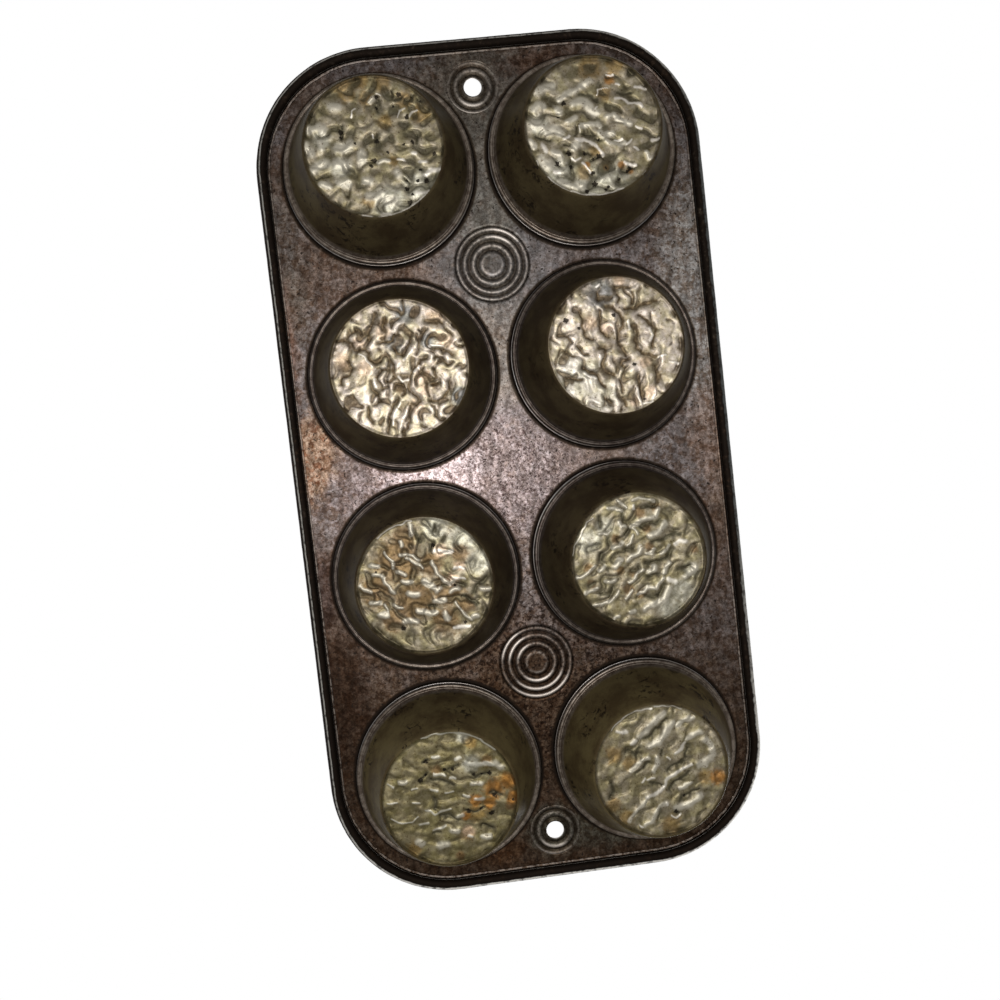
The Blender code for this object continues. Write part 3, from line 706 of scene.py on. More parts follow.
def crimp_cup(verts, crimp, lines, stains, side):
    """Crimps and domes the bottom of a cup on the +Y or -Y side, and gives the attributes of its outside."""
    x, y = verts[:, 0], verts[:, 1]
    section_z = verts[:, 2].copy()
    radius = np.hypot(x, y)
    low_down = section_z < BOTTOM_CORNER
    reach = np.where(low_down, 1 - smoothstep(CRIMP_REACH - CRIMP_FADE, CRIMP_REACH, radius), 0)
    noise = {key: sample(field, x, y) for key, field in crimp_fields(crimp).items()}
    line_x = x + LINE_WOBBLE * noise["wobble_x"]
    line_y = y + LINE_WOBBLE * noise["wobble_y"]
    drawn = {kind: line_amount(lines[kind], line_x, line_y, spread) for kind, spread in LINE_SPREADS.items()}
    crest = np.maximum(drawn["ridges"], drawn["gleams"])
    # Painted shade round the traced grooves, and grime with painted shade in the hollows.
    halo = HALO_SHADE * line_amount(lines["grooves"], line_x, line_y, HALO_SPREAD)
    grime_and_shade = np.maximum(noise["groove"], drawn["grooves"])
    grime_and_shade = np.maximum(grime_and_shade, halo + HALO_NOISE * noise["groove"]) * (1 - crest)
    outward = side * y / np.maximum(radius, TINY)
    inside_rim = smoothstep(GLEAM_REACH, GLEAM_REACH - GLEAM_FADE, radius)
    bead = smoothstep(BEAD_LOW - 0.35 * MM, BEAD_LOW, section_z)
    attributes = {
        "clean": np.full(len(verts), crimp["clean"]),
        "groove": np.where(low_down, grime_and_shade, 0),
        "ridge": drawn["ridges"] * reach,
        # top: the crimps' tops, which get a painted highlight
        "top": noise["top"] * reach * (1 - np.clip(grime_and_shade, 0, 1)),
        "gleam": np.where(low_down, drawn["gleams"], 0) * inside_rim,
        # edge: painted shade over the disc's rim, reaching further in on the side away from the pan's middle.
        "edge": np.where(low_down, smoothstep(EDGE_START - EDGE_LEAN * outward, GLEAM_REACH, radius), 0),
        "bottom": smoothstep(BOTTOM_CORNER * 0.16, 0, section_z),
        "bead": bead,
        "valley": smoothstep(VALLEY_LOW, BEAD_LOW - 0.5 * MM, section_z) * (1 - bead),
    }
    for kind in [tint[0] for tint in STAIN_TINTS] + ["pits"]:
        attributes[kind] = np.where(low_down, stain_amount(stains.get(kind, ()), x, y), 0)

    depth = noise["depth"] + GROOVE_DEPTH * drawn["grooves"] + HALO_DEPTH * halo
    depth -= RIDGE_HEIGHT * drawn["ridges"] + GLEAM_HEIGHT * drawn["gleams"]
    depth = (depth - depth[low_down].min()) * MM
    verts[:, 2] += DOME * (radius / BOTTOM_RADIUS) ** 2 * smoothstep(0, 1, 1 - section_z / DOME_FADE)
    verts[:, 2] += depth * reach
    return attributes


def make_cups(outside, inside):
    flat_verts, faces = cup_mesh()
    for name in CUPS:
        low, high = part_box(name)
        side = 1 if low.y + high.y > 0 else -1
        verts = flat_verts.copy()
        crimp = dict(zip(CRIMP_WORDS, CRIMPS[name]))
        attributes = crimp_cup(verts, crimp, CRIMP_LINES[name], STAINS[name], side)
        verts[:, :2] += ((low.x + high.x) / 2, (low.y + high.y) / 2)
        cup = add_piece(f"{name}_shell", verts, faces, attributes, [outside, inside])
        thicken(cup, SHEET, 1)
        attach(cup, "root")
        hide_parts(name)


# Plate

FLAT_MARGIN = 0.4 * MM
HANG_MARGIN = 0.12 * MM
WRINKLE = 0.06 * MM
CORNER_WRINKLE = 0.16 * MM

# The band of painted highlight along the roll, in degrees round the roll: its middle, how far that moves
# towards +X and +Y, and how far it moves out and how much it widens at -X and at the foot.
STRIP_MIDDLE = -77.6
STRIP_SHIFT = (6.2, 9.5)
STRIP_AT_LEFT = (34, 2.2)
STRIP_AT_FOOT = (28, 0.9)
STRIP_REACH = 60


def circle_loop(centre, radius, segments):
    angles = 2 * pi * np.arange(segments) / segments
    away = np.stack([np.cos(angles), np.sin(angles)], axis=1)
    return {"core": np.tile(centre, (segments, 1)), "away": away, "start": radius}


def outline_loop(start):
    """The rectangle through the corner cups' axes as the core, with the way out from it at each step."""
    core, away = [], []
    corners = [(x * END_CUP_X, y * END_CUP_Y) for x, y in ((1, 1), (-1, 1), (-1, -1), (1, -1))]
    for quarter, corner in enumerate(corners):
        for step in range(CORNER_SEGMENTS + 1):
            angle = (quarter + step / CORNER_SEGMENTS) * pi / 2
            core.append(corner)
            away.append((cos(angle), sin(angle)))
        following = corners[(quarter + 1) % 4]
        length = abs(following[0] - corner[0]) + abs(following[1] - corner[1])
        for point in along(corner, following, round(length / STRAIGHT_STEP)):
            core.append(point)
            away.append(away[-1])
    return {"core": np.array(core), "away": np.array(away), "start": start}


def fill_between(loops):
    """Triangles of the flat sheet between the loops, as indices into all their vertices in order."""
    bm = bmesh.new()
    for loop in loops:
        points = loop["core"] + loop["away"] * loop["start"]
        verts = [bm.verts.new((x, y, PLATE_TOP)) for x, y in points]
        for i in range(len(verts)):
            bm.edges.new((verts[i - 1], verts[i]))
    bm.verts.index_update()
    bmesh.ops.triangle_fill(bm, edges=bm.edges[:], use_beauty=True, normal=(0, 0, 1))
    faces = []
    for face in bm.faces:
        corners = [vert.index for vert in face.verts]
        faces.append(corners if face.normal.z > 0 else corners[::-1])
    bm.free()
    return faces


def ring_section(outer, crests):
    """Pressed rings from the outside in: round grooves seen from below, each ended by a worn crest."""
    section = [(outer, PLATE_TOP, 0, 0)]
    radii = [outer] + [crest for crest, _ in crests]
    for start, end in zip(radii, radii[1:]):
        height = RING_HEIGHT * min(1, (start - end) / RING_FULL_WIDTH)
        for step in range(1, RING_STEPS + 1):
            distance = start + (end - start) * step / RING_STEPS
            rise = sin(pi * step / RING_STEPS) ** 2
            wear = max(worn * exp(-(((distance - crest) / CREST_WIDTH) ** 2)) for crest, worn in crests)
            section.append((distance, PLATE_TOP + height * rise, wear, RING_SOOT * rise))
    return section


def collar_section():
    """Flat margin, bend and collar of a cup hole: distance, height, wear, and soot with painted shade."""
    # The margin darkens towards the bend: soot, and painted shade where the bend turns down.
    margin = ((0.95 * MM, 0.15), (0.55 * MM, 0.75), (0, 0.95))
    section = [(HOLE_RADIUS + width, PLATE_TOP, 0, soot_and_shade) for width, soot_and_shade in margin]
    bend = arc((HOLE_RADIUS, PLATE_TOP - COLLAR_BEND), COLLAR_BEND, 90, 180, 7)[1:]
    section += [(distance, z, 0, 1) for distance, z in bend]
    section.append((COLLAR_INNER, COLLAR_END + 0.3 * MM, 0.2, 0.8))
    section.append((COLLAR_INNER, COLLAR_END, 1, 0.2))
    return section


def hem_section():
    """The roll's outer surface from the end of the flat sheet to the raw edge on the plate's underside."""
    section = [(FLAT_END, PLATE_TOP, 0, 0)]
    for step, point in enumerate(arc((FLAT_END, HEM_Z), HEM_RADIUS, 90, -180, HEM_STEPS)[1:], start=1):
        angle = 90 - 270 * step / HEM_STEPS
        soot_and_shade = min(1, max(0, (SOOT_START - angle) / (SOOT_START - SOOT_FULL)))
        section.append((*point, 0, soot_and_shade))
    inner = FLAT_END - HEM_RADIUS
    edge_z = PLATE_TOP - 2 * SHEET - 0.05 * MM
    section.append((inner, edge_z - EDGE_CURVE, 0, 1))
    for distance, z in arc((inner - EDGE_CURVE, edge_z - EDGE_CURVE), EDGE_CURVE, 0, 90, 3)[1:]:
        section.append((distance, z, EDGE_WEAR[0], 0.3))
    section.append((inner - EDGE_CURVE - EDGE_FLAT, edge_z, EDGE_WEAR[1], 0))
    return section


def plate_arrays():
    collars = []
    for name in CUPS:
        low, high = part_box(name)
        collars.append(circle_loop(((low.x + high.x) / 2, (low.y + high.y) / 2), LIP_RADIUS, TURN_SEGMENTS))
    medallions = [
        circle_loop((0, side * CUP_PITCH), MEDALLION_RADIUS + FLAT_MARGIN, MEDALLION_SEGMENTS)
        for side in (1, -1)
    ]
    hangers = [circle_loop((0, side * HANG_Y), HANG_RADIUS + HANG_MARGIN, HANG_SEGMENTS) for side in (1, -1)]
    outline = outline_loop(FLAT_END - FLAT_MARGIN)

    medallion_section = ring_section(MEDALLION_RADIUS, MEDALLION_CRESTS)
    medallion_section += [(MEDALLION_FLAT * share, PLATE_TOP, 0, 0.35) for share in (0.8, 0.5, 0.2)]
    jobs = [(outline, hem_section(), 1)]
    jobs += [(loop, collar_section(), -1) for loop in collars]
    jobs += [(loop, medallion_section, -1) for loop in medallions]
    jobs += [(loop, ring_section(HANG_RADIUS, HANG_CRESTS), -1) for loop in hangers]
    loops = [job[0] for job in jobs]

    faces = fill_between(loops)
    materials = [0] * len(faces)
    blocks, wear, soot_and_shade = [], [], []
    for loop in loops:
        points = loop["core"] + loop["away"] * loop["start"]
        blocks.append(np.column_stack([points, np.full(len(points), PLATE_TOP)]))
        wear += [0] * len(points)
        soot_and_shade += [0] * len(points)

    first = 0
    total = len(wear)
    for loop, section, side in jobs:
        count = len(loop["core"])
        previous = first
        first += count
        for row, (distance, z, row_wear, row_soot) in enumerate(section):
            points = loop["core"] + loop["away"] * distance
            blocks.append(np.column_stack([points, np.full(count, z)]))
            wear += [row_wear] * count
            soot_and_shade += [row_soot] * count
            for j in range(count):
                k = (j + 1) % count
                quad = (previous + j, total + j, total + k, previous + k)
                faces.append(quad if side > 0 else quad[::-1])
            on_roll = side > 0 and row > 2
            materials += [int(on_roll)] * count
            previous = total
            total += count
        if section is medallion_section:
            faces.append(tuple(range(previous, previous + count)))
            materials.append(0)
    verts = np.concatenate(blocks)
    attributes = {"wear": wear, "soot_and_shade": soot_and_shade, "strip": roll_strip(verts)}
    return verts, faces, materials, attributes


def from_core(verts):
    """Of each vertex: the nearest place of the core's rectangle, the way out from it, and the distance."""
    core = np.clip(verts[:, :2], (-END_CUP_X, -END_CUP_Y), (END_CUP_X, END_CUP_Y))
    out = verts[:, :2] - core
    distance = np.hypot(out[:, 0], out[:, 1])
    return core, out / np.maximum(distance, TINY)[:, None], distance


def roll_strip(verts):
    """Degrees round the roll from the band of painted highlight along it, which is wide at -X."""
    _, away, distance = from_core(verts)
    angle = np.degrees(np.arctan2(verts[:, 2] - HEM_Z, distance - FLAT_END))
    left = np.clip(-away[:, 0], 0, 1)
    foot = np.clip(-away[:, 1], 0, 1)
    strip = STRIP_MIDDLE + away @ STRIP_SHIFT + STRIP_AT_LEFT[0] * left + STRIP_AT_FOOT[0] * foot
    width = 1 + STRIP_AT_LEFT[1] * left + STRIP_AT_FOOT[1] * foot
    return np.clip((angle - strip) / width, -STRIP_REACH, STRIP_REACH)


def rough_edge(verts):
    """Small wrinkles along the roll's raw edge, stronger round the corners, and a slightly uneven roll."""
    rng = np.random.default_rng(5)
    core, away, distance = from_core(verts)
    heading = np.arctan2(away[:, 1], away[:, 0])
    travel = heading * 45 * MM + core[:, 0] * np.sign(-away[:, 1]) + core[:, 1] * np.sign(away[:, 0])
    corner = np.abs(np.sin(2 * heading)) ** 0.5

    def ripple(step, count):
        """Seeded ups and downs a step apart along the edge."""
        knots = rng.uniform(-1, 1, count)
        return np.interp(travel % (step * count), np.arange(count + 1) * step, np.append(knots, knots[0]))

    fine, coarse = ripple(1.0 * MM, 411), ripple(7 * MM, 97)
    on_edge = smoothstep(FLAT_END - HEM_RADIUS + 0.1 * MM, FLAT_END - HEM_RADIUS - EDGE_CURVE, distance)
    on_edge = np.where((verts[:, 2] < PLATE_TOP - 2 * SHEET) & (verts[:, 2] > HEM_Z), on_edge, 0)
    on_roll = np.where(distance > FLAT_END + 0.2 * HEM_RADIUS, (distance - FLAT_END) / HEM_RADIUS, 0)
    amount = WRINKLE + CORNER_WRINKLE * corner
    verts[:, 2] -= on_edge * amount * (0.5 + 0.5 * fine)
    dent = 0.09 * MM * (0.5 + 0.5 * coarse) + 0.03 * MM * (1 + fine)
    shift = on_edge * amount * 0.7 * fine - on_roll * dent
    verts[:, :2] += away * shift[:, None]


def make_plate(top, underside):
    verts, faces, materials, attributes = plate_arrays()
    rough_edge(verts)
    plate = add_piece("frame_sheet", verts, faces, attributes, [top, underside])
    plate.data.polygons.foreach_set("material_index", materials)
    thicken(plate, SHEET, 1)
    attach(plate, "root")
    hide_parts("frame_plate")


# Materials

WHITE = (1, 1, 1)

# Patches of the plate's underside: place and half widths in millimetres, turn in degrees, raggedness, amount
# and colour.
PLATE_PATCHES = (
    # The first two, round the middle, are partly a painted highlight of the front lamp's glow, over a pinker
    # tone.
    (26, -2, 74, 42, 0, 0.30, 0.85, (0.215, 0.176, 0.170)),
    (34, 0, 27, 17, 0, 0.5, 0.75, (0.54, 0.46, 0.46)),
    (-84, 60, 24, 70, 0, 0.3, 0.9, (0.35, 0.34, 0.325)),
    (0, 50, 26, 34, 0, 0.4, 0.6, (0.23, 0.22, 0.20)),
    (0, 84, 34, 30, 0, 0.5, 0.6, (0.165, 0.17, 0.175)),
    (0, 81, 8, 8, 0, 0.1, 0.8, (0.20, 0.205, 0.225)),
    (0, 120, 20, 60, 0, 0.4, 0.7, (0.15, 0.142, 0.118)),
    (84, 84, 14, 50, 0, 0.6, 0.5, (0.14, 0.125, 0.105)),
    (87, 58, 9, 44, 0, 0.4, 0.7, (0.22, 0.145, 0.118)),
    (0, 152, 40, 26, 0, 0.5, 0.6, (0.122, 0.112, 0.092)),
    (-28, 157, 20, 9, 0, 0.6, 0.8, (0.125, 0.080, 0.058)),
    (80, 12, 13, 24, 8, 0.6, 0.9, (0.30, 0.215, 0.155)),
    (84, -42, 14, 24, 0, 0.5, 0.9, (0.075, 0.052, 0.045)),
    (-84, 2, 16, 34, 0, 0.5, 0.7, (0.29, 0.22, 0.185)),
    (6, -146, 220, 122, 0, 0.3, 0.95, (0.083, 0.054, 0.034)),
    (84, -84, 23, 42, 0, 0.4, 0.95, (0.046, 0.027, 0.017)),
    (0, -151, 17, 15, 0, 0.3, 0.7, (0.095, 0.100, 0.080)),
    (-24, -151, 26, 14, 0, 0.4, 0.7, (0.105, 0.105, 0.082)),
    (24, -157, 16, 8, 0, 0.5, 0.8, (0.105, 0.056, 0.028)),
    (-88, -20, 12, 30, 0, 0.7, 0.5, (0.16, 0.12, 0.09)),
)

# Where the pressed rings' crests get a painted highlight: place and half widths in millimetres.
GLINTS = ((-3, -92, 18, 9), (10, -73, 9, 8), (-7, 93, 11, 6), (3, 143, 9, 5), (2, -158, 8, 5))


class Nodes:
    """Builds the nodes of one node tree."""

    def __init__(self, tree):
        self.tree = tree

    def node(self, kind, inputs=None, **settings):
        """A node with its settings; each of its inputs takes a value or another node's output."""
        node = self.tree.nodes.new(kind)
        for name, value in settings.items():
            setattr(node, name, value)
        for socket, value in (inputs or {}).items():
            self.link(value, node.inputs[socket])
        return node.outputs

    def link(self, value, target):
        if isinstance(value, bpy.types.NodeSocket):
            self.tree.links.new(value, target)
        else:
            target.default_value = value

    def step(self, value, low, high, bottom=0.0, top=1.0, curve="SMOOTHSTEP"):
        """The value's way from low to high as a step from bottom to top."""
        inputs = {"Value": value, "From Min": low, "From Max": high, "To Min": bottom, "To Max": top}
        return self.node("ShaderNodeMapRange", inputs, interpolation_type=curve)["Result"]

    def math(self, operation, first, second=0.0, clamp=False):
        inputs = {0: first, 1: second}
        return self.node("ShaderNodeMath", inputs, operation=operation, use_clamp=clamp)["Value"]

    def sum(self, first, second):
        return self.math("ADD", first, second)

    def product(self, first, second):
        return self.math("MULTIPLY", first, second)


class Finish(Nodes):
    """A metal finish, built from noises in the pan's own coordinates."""

    def __init__(self, name):
        self.material = bpy.data.materials.new(name)
        self.material.use_nodes = True
        super().__init__(self.material.node_tree)
        self.shader = self.tree.nodes["Principled BSDF"]
        self.place = self.node("ShaderNodeTexCoord")["Object"]

    def noise(self, size, detail, rough, shift, stretch=(1, 1, 1), warp=0.0):
        """Noise from about 0 to 1 whose features measure about size."""
        scale = [1 / (size * part) for part in stretch]
        inputs = {"Location": (shift, shift * 0.7, shift * 0.3), "Scale": scale, "Vector": self.place}
        moved = self.node("ShaderNodeMapping", inputs)["Vector"]
        inputs = {"Scale": 1, "Detail": detail, "Roughness": rough, "Distortion": warp, "Vector": moved}
        return self.node("ShaderNodeTexNoise", inputs)["Fac"]

    def attribute(self, name):
        return self.node("ShaderNodeAttribute", attribute_name=name)["Fac"]

    def mix(self, factor, first, second, blend="MIX"):
        inputs = {"Factor": factor, "A": self.color(first), "B": self.color(second)}
        return self.node("ShaderNodeMix", inputs, data_type="RGBA", blend_type=blend)["Result"]

    def times(self, color, factor):
        return self.mix(1.0, color, factor, "MULTIPLY")

    def tinted(self, amount, color, tint):
        """The colour, multiplied by the tint where the amount is one."""
        return self.mix(amount, color, self.times(color, tint))

    def graded(self, color, value, low, high):
        """The colour times a tint that goes from low to high with the value."""
        return self.times(color, self.mix(value, low, high))

    def color(self, value):
        return value if isinstance(value, bpy.types.NodeSocket) else (*value, 1)

    def patch(self, x, y, half_x, half_y, turn, ragged):
        """A soft ragged spot of the sheet round a place in millimetres: 1 in its middle and 0 outside."""
        inputs = {
            "Location": (x * MM, y * MM, PLATE_TOP),
            "Rotation": (0, 0, radians(turn)),
            "Scale": (half_x * MM, half_y * MM, 1),
            "Vector": self.place,
        }
        moved = self.node("ShaderNodeMapping", inputs, vector_type="TEXTURE")["Vector"]
        spot = self.node("ShaderNodeTexGradient", {"Vector": moved}, gradient_type="SPHERICAL")["Fac"]
        edge = self.product(self.math("SUBTRACT", self.noise(5 * MM, 5, 0.65, x), 0.5), ragged * 2)
        return self.step(self.sum(spot, edge), 0.05, 0.6)

    def bump(self, height, distance, strength):
        inputs = {"Strength": strength, "Distance": distance, "Height": height}
        return self.node("ShaderNodeBump", inputs)["Normal"]

    def finish(self, color, roughness, metallic, normal):
        self.link(self.color(color), self.shader.inputs["Base Color"])
        self.link(roughness, self.shader.inputs["Roughness"])
        self.link(metallic, self.shader.inputs["Metallic"])
        self.link(normal, self.shader.inputs["Normal"])
        return self.material


def plate_underside():
    """Tinned sheet browned by baking: grey and brown mottling, rust, black specks, soot at the seams, and
    painted shade at the cup holes and painted highlights in the middle, on the rings and along the roll.
    """
    f = Finish("plate_underside")
    broad = f.noise(38 * MM, 4, 0.55, 3)
    mottle = f.noise(3.0 * MM, 5, 0.72, 7, warp=0.5)
    grain = f.noise(1.1 * MM, 4, 0.75, 11)
    weave = f.noise(2.4 * MM, 1, 0.5, 13, stretch=(1, 3.2, 1))
    color = f.mix(f.step(broad, 0.38, 0.62), (0.175, 0.157, 0.155), (0.15, 0.113, 0.092))

    # Named patches of the sheet, as seen in the photograph.
    for *place, amount, tint in PLATE_PATCHES:
        place = f.patch(*place)
        color = f.mix(f.product(place, amount), color, tint)

    # Mottling, as multiples of the colour under it: light in the middle, heavy and rusty round it.
    calm = f.math("MAXIMUM", f.patch(10, 10, 74, 60, 0, 0.5), f.patch(-4, 84, 44, 46, 0, 0.5))
    calm = f.math("MAXIMUM", calm, f.patch(0, 126, 30, 50, 0, 0.5))
    heavy = f.math("SUBTRACT", 1.0, f.product(calm, 0.60))
    blotches = f.product(f.step(mottle, 0.42, 0.60), heavy)
    color = f.mix(blotches, f.times(color, (1.20, 1.20, 1.19)), f.times(color, (0.60, 0.49, 0.40)))
    color = f.graded(color, f.step(grain, 0.38, 0.64), (0.62, 0.58, 0.56), (1.36, 1.36, 1.38))
    color = f.graded(color, f.step(weave, 0.35, 0.65), (0.78, 0.78, 0.78), (1.20, 1.20, 1.20))
    rust = f.patch(82, 14, 14, 26, 0, 0.7)
    rust_spread = f.sum(f.product(rust, 0.6), f.product(heavy, 0.18))
    rust_blots = f.step(f.noise(2.2 * MM, 4, 0.65, 41, warp=0.8), 0.50, 0.60)
    rust_blots = f.product(rust_blots, rust_spread)
    color = f.tinted(rust_blots, color, (0.50, 0.26, 0.15))
    below = f.patch(0, -78, 84, 84, 0, 0.4)
    freckles = f.step(f.noise(1.8 * MM, 4, 0.7, 19, warp=0.6), 0.515, 0.56)
    freckles = f.product(freckles, f.sum(0.20, f.product(below, 0.65)))
    color = f.tinted(freckles, color, (0.16, 0.12, 0.10))
    fleck = f.noise(1.2 * MM, 5, 0.75, 113, warp=0.6)
    # Darker nicks in the middle, and a painted sparkle of highlight on bright flecks there.
    rubbed_and_lit_middle = f.patch(20, -4, 76, 40, 0, 0.4)
    nicks = f.product(f.step(fleck, 0.54, 0.57, 0, 0.9), rubbed_and_lit_middle)
    color = f.tinted(nicks, color, (0.24, 0.17, 0.17))
    glitter = f.product(f.step(fleck, 0.42, 0.49, 1, 0), rubbed_and_lit_middle)
    color = f.tinted(glitter, color, (1.45, 1.48, 1.52))
    specks = f.step(f.noise(1.3 * MM, 2, 0.5, 23), 0.64, 0.69)
    color = f.mix(f.product(specks, 0.9), color, (0.02, 0.014, 0.011))

    # Near black at the seams: soot on the roll's underside and in the ring grooves, and soot with painted
    # shade round the cup holes.
    soot_and_shade = f.attribute("soot_and_shade")
    soot_and_shade_edge = f.product(soot_and_shade, f.step(f.noise(2.0 * MM, 3, 0.6, 29), 0.2, 0.5, 0.8, 1.0))
    color = f.graded(color, soot_and_shade_edge, WHITE, (1, 0.84, 0.62))
    color = f.mix(soot_and_shade_edge, color, (0.016, 0.011, 0.008))
    wear = f.attribute("wear")
    dull_side = f.patch(-100, 50, 44, 170, 0, 0.2)
    wear_dashes = f.product(wear, f.step(f.noise(1.5 * MM, 4, 0.7, 31), 0.41, 0.56, 0.08, 1))
    wear_dashes = f.product(wear_dashes, f.step(dull_side, 0, 1, 1, 0.15))
    wear_dashes = f.product(wear_dashes, f.step(below, 0, 1, 1, 0.6))
    color = f.mix(wear_dashes, color, (0.52, 0.45, 0.39))
    # Painted highlights on the crests of the pressed rings.
    for place in GLINTS:
        glint = f.product(f.patch(*place, 0, 0.2), f.step(wear, 0.05, 0.6))
        color = f.mix(f.product(glint, 0.8), color, (0.95, 0.85, 0.76))
    # Painted highlight: a bright band along the roll, broken up, brighter at the foot and dull grey at -X.
    wander = f.product(f.math("SUBTRACT", f.noise(4 * MM, 3, 0.6, 37), 0.5), 14)
    from_strip = f.math("ABSOLUTE", f.sum(f.attribute("strip"), wander))
    band_breaks = f.step(f.noise(2.4 * MM, 3, 0.6, 59), 0.34, 0.5, 0.35, 1)
    strip = f.product(f.step(from_strip, 5, 11, 1, 0), band_breaks)
    bright_foot = f.patch(-20, -165, 150, 90, 0, 0.2)
    band_tint = f.mix(bright_foot, (0.46, 0.44, 0.40), (0.95, 0.92, 0.86))
    color = f.mix(strip, color, f.mix(dull_side, band_tint, (0.12, 0.125, 0.12)))

    roughness = f.mix(soot_and_shade_edge, (0.50, 0.50, 0.50), (0.68, 0.68, 0.68))
    height = f.sum(f.product(grain, 0.7), mottle)
    normal = f.bump(height, 0.06 * MM, 0.9)
    return f.finish(color, roughness, 0.95, normal)


def plate_top():
    """The side that the batter sees: warm grey tin with darker baked-on stains."""
    f = Finish("plate_top")
    broad = f.noise(30 * MM, 4, 0.55, 43)
    mottle = f.noise(5 * MM, 5, 0.6, 47)
    grain = f.noise(0.9 * MM, 3, 0.6, 53)
    color = f.mix(f.step(broad, 0.35, 0.65), (0.42, 0.40, 0.385), (0.34, 0.295, 0.26))
    color = f.mix(f.step(mottle, 0.52, 0.72, 0, 0.6), color, (0.19, 0.145, 0.115))
    color = f.mix(f.step(grain, 0.5, 0.75, 0, 0.3), color, (0.52, 0.50, 0.48))
    # Darker at the seams: soot, and painted shade round the cup holes.
    soot_and_shade = f.attribute("soot_and_shade")
    color = f.mix(f.product(soot_and_shade, 0.75), color, (0.10, 0.08, 0.065))
    normal = f.bump(f.sum(f.product(grain, 0.5), mottle), 0.05 * MM, 0.6)
    return f.finish(color, f.step(mottle, 0.3, 0.7, 0.34, 0.48), 0.95, normal)


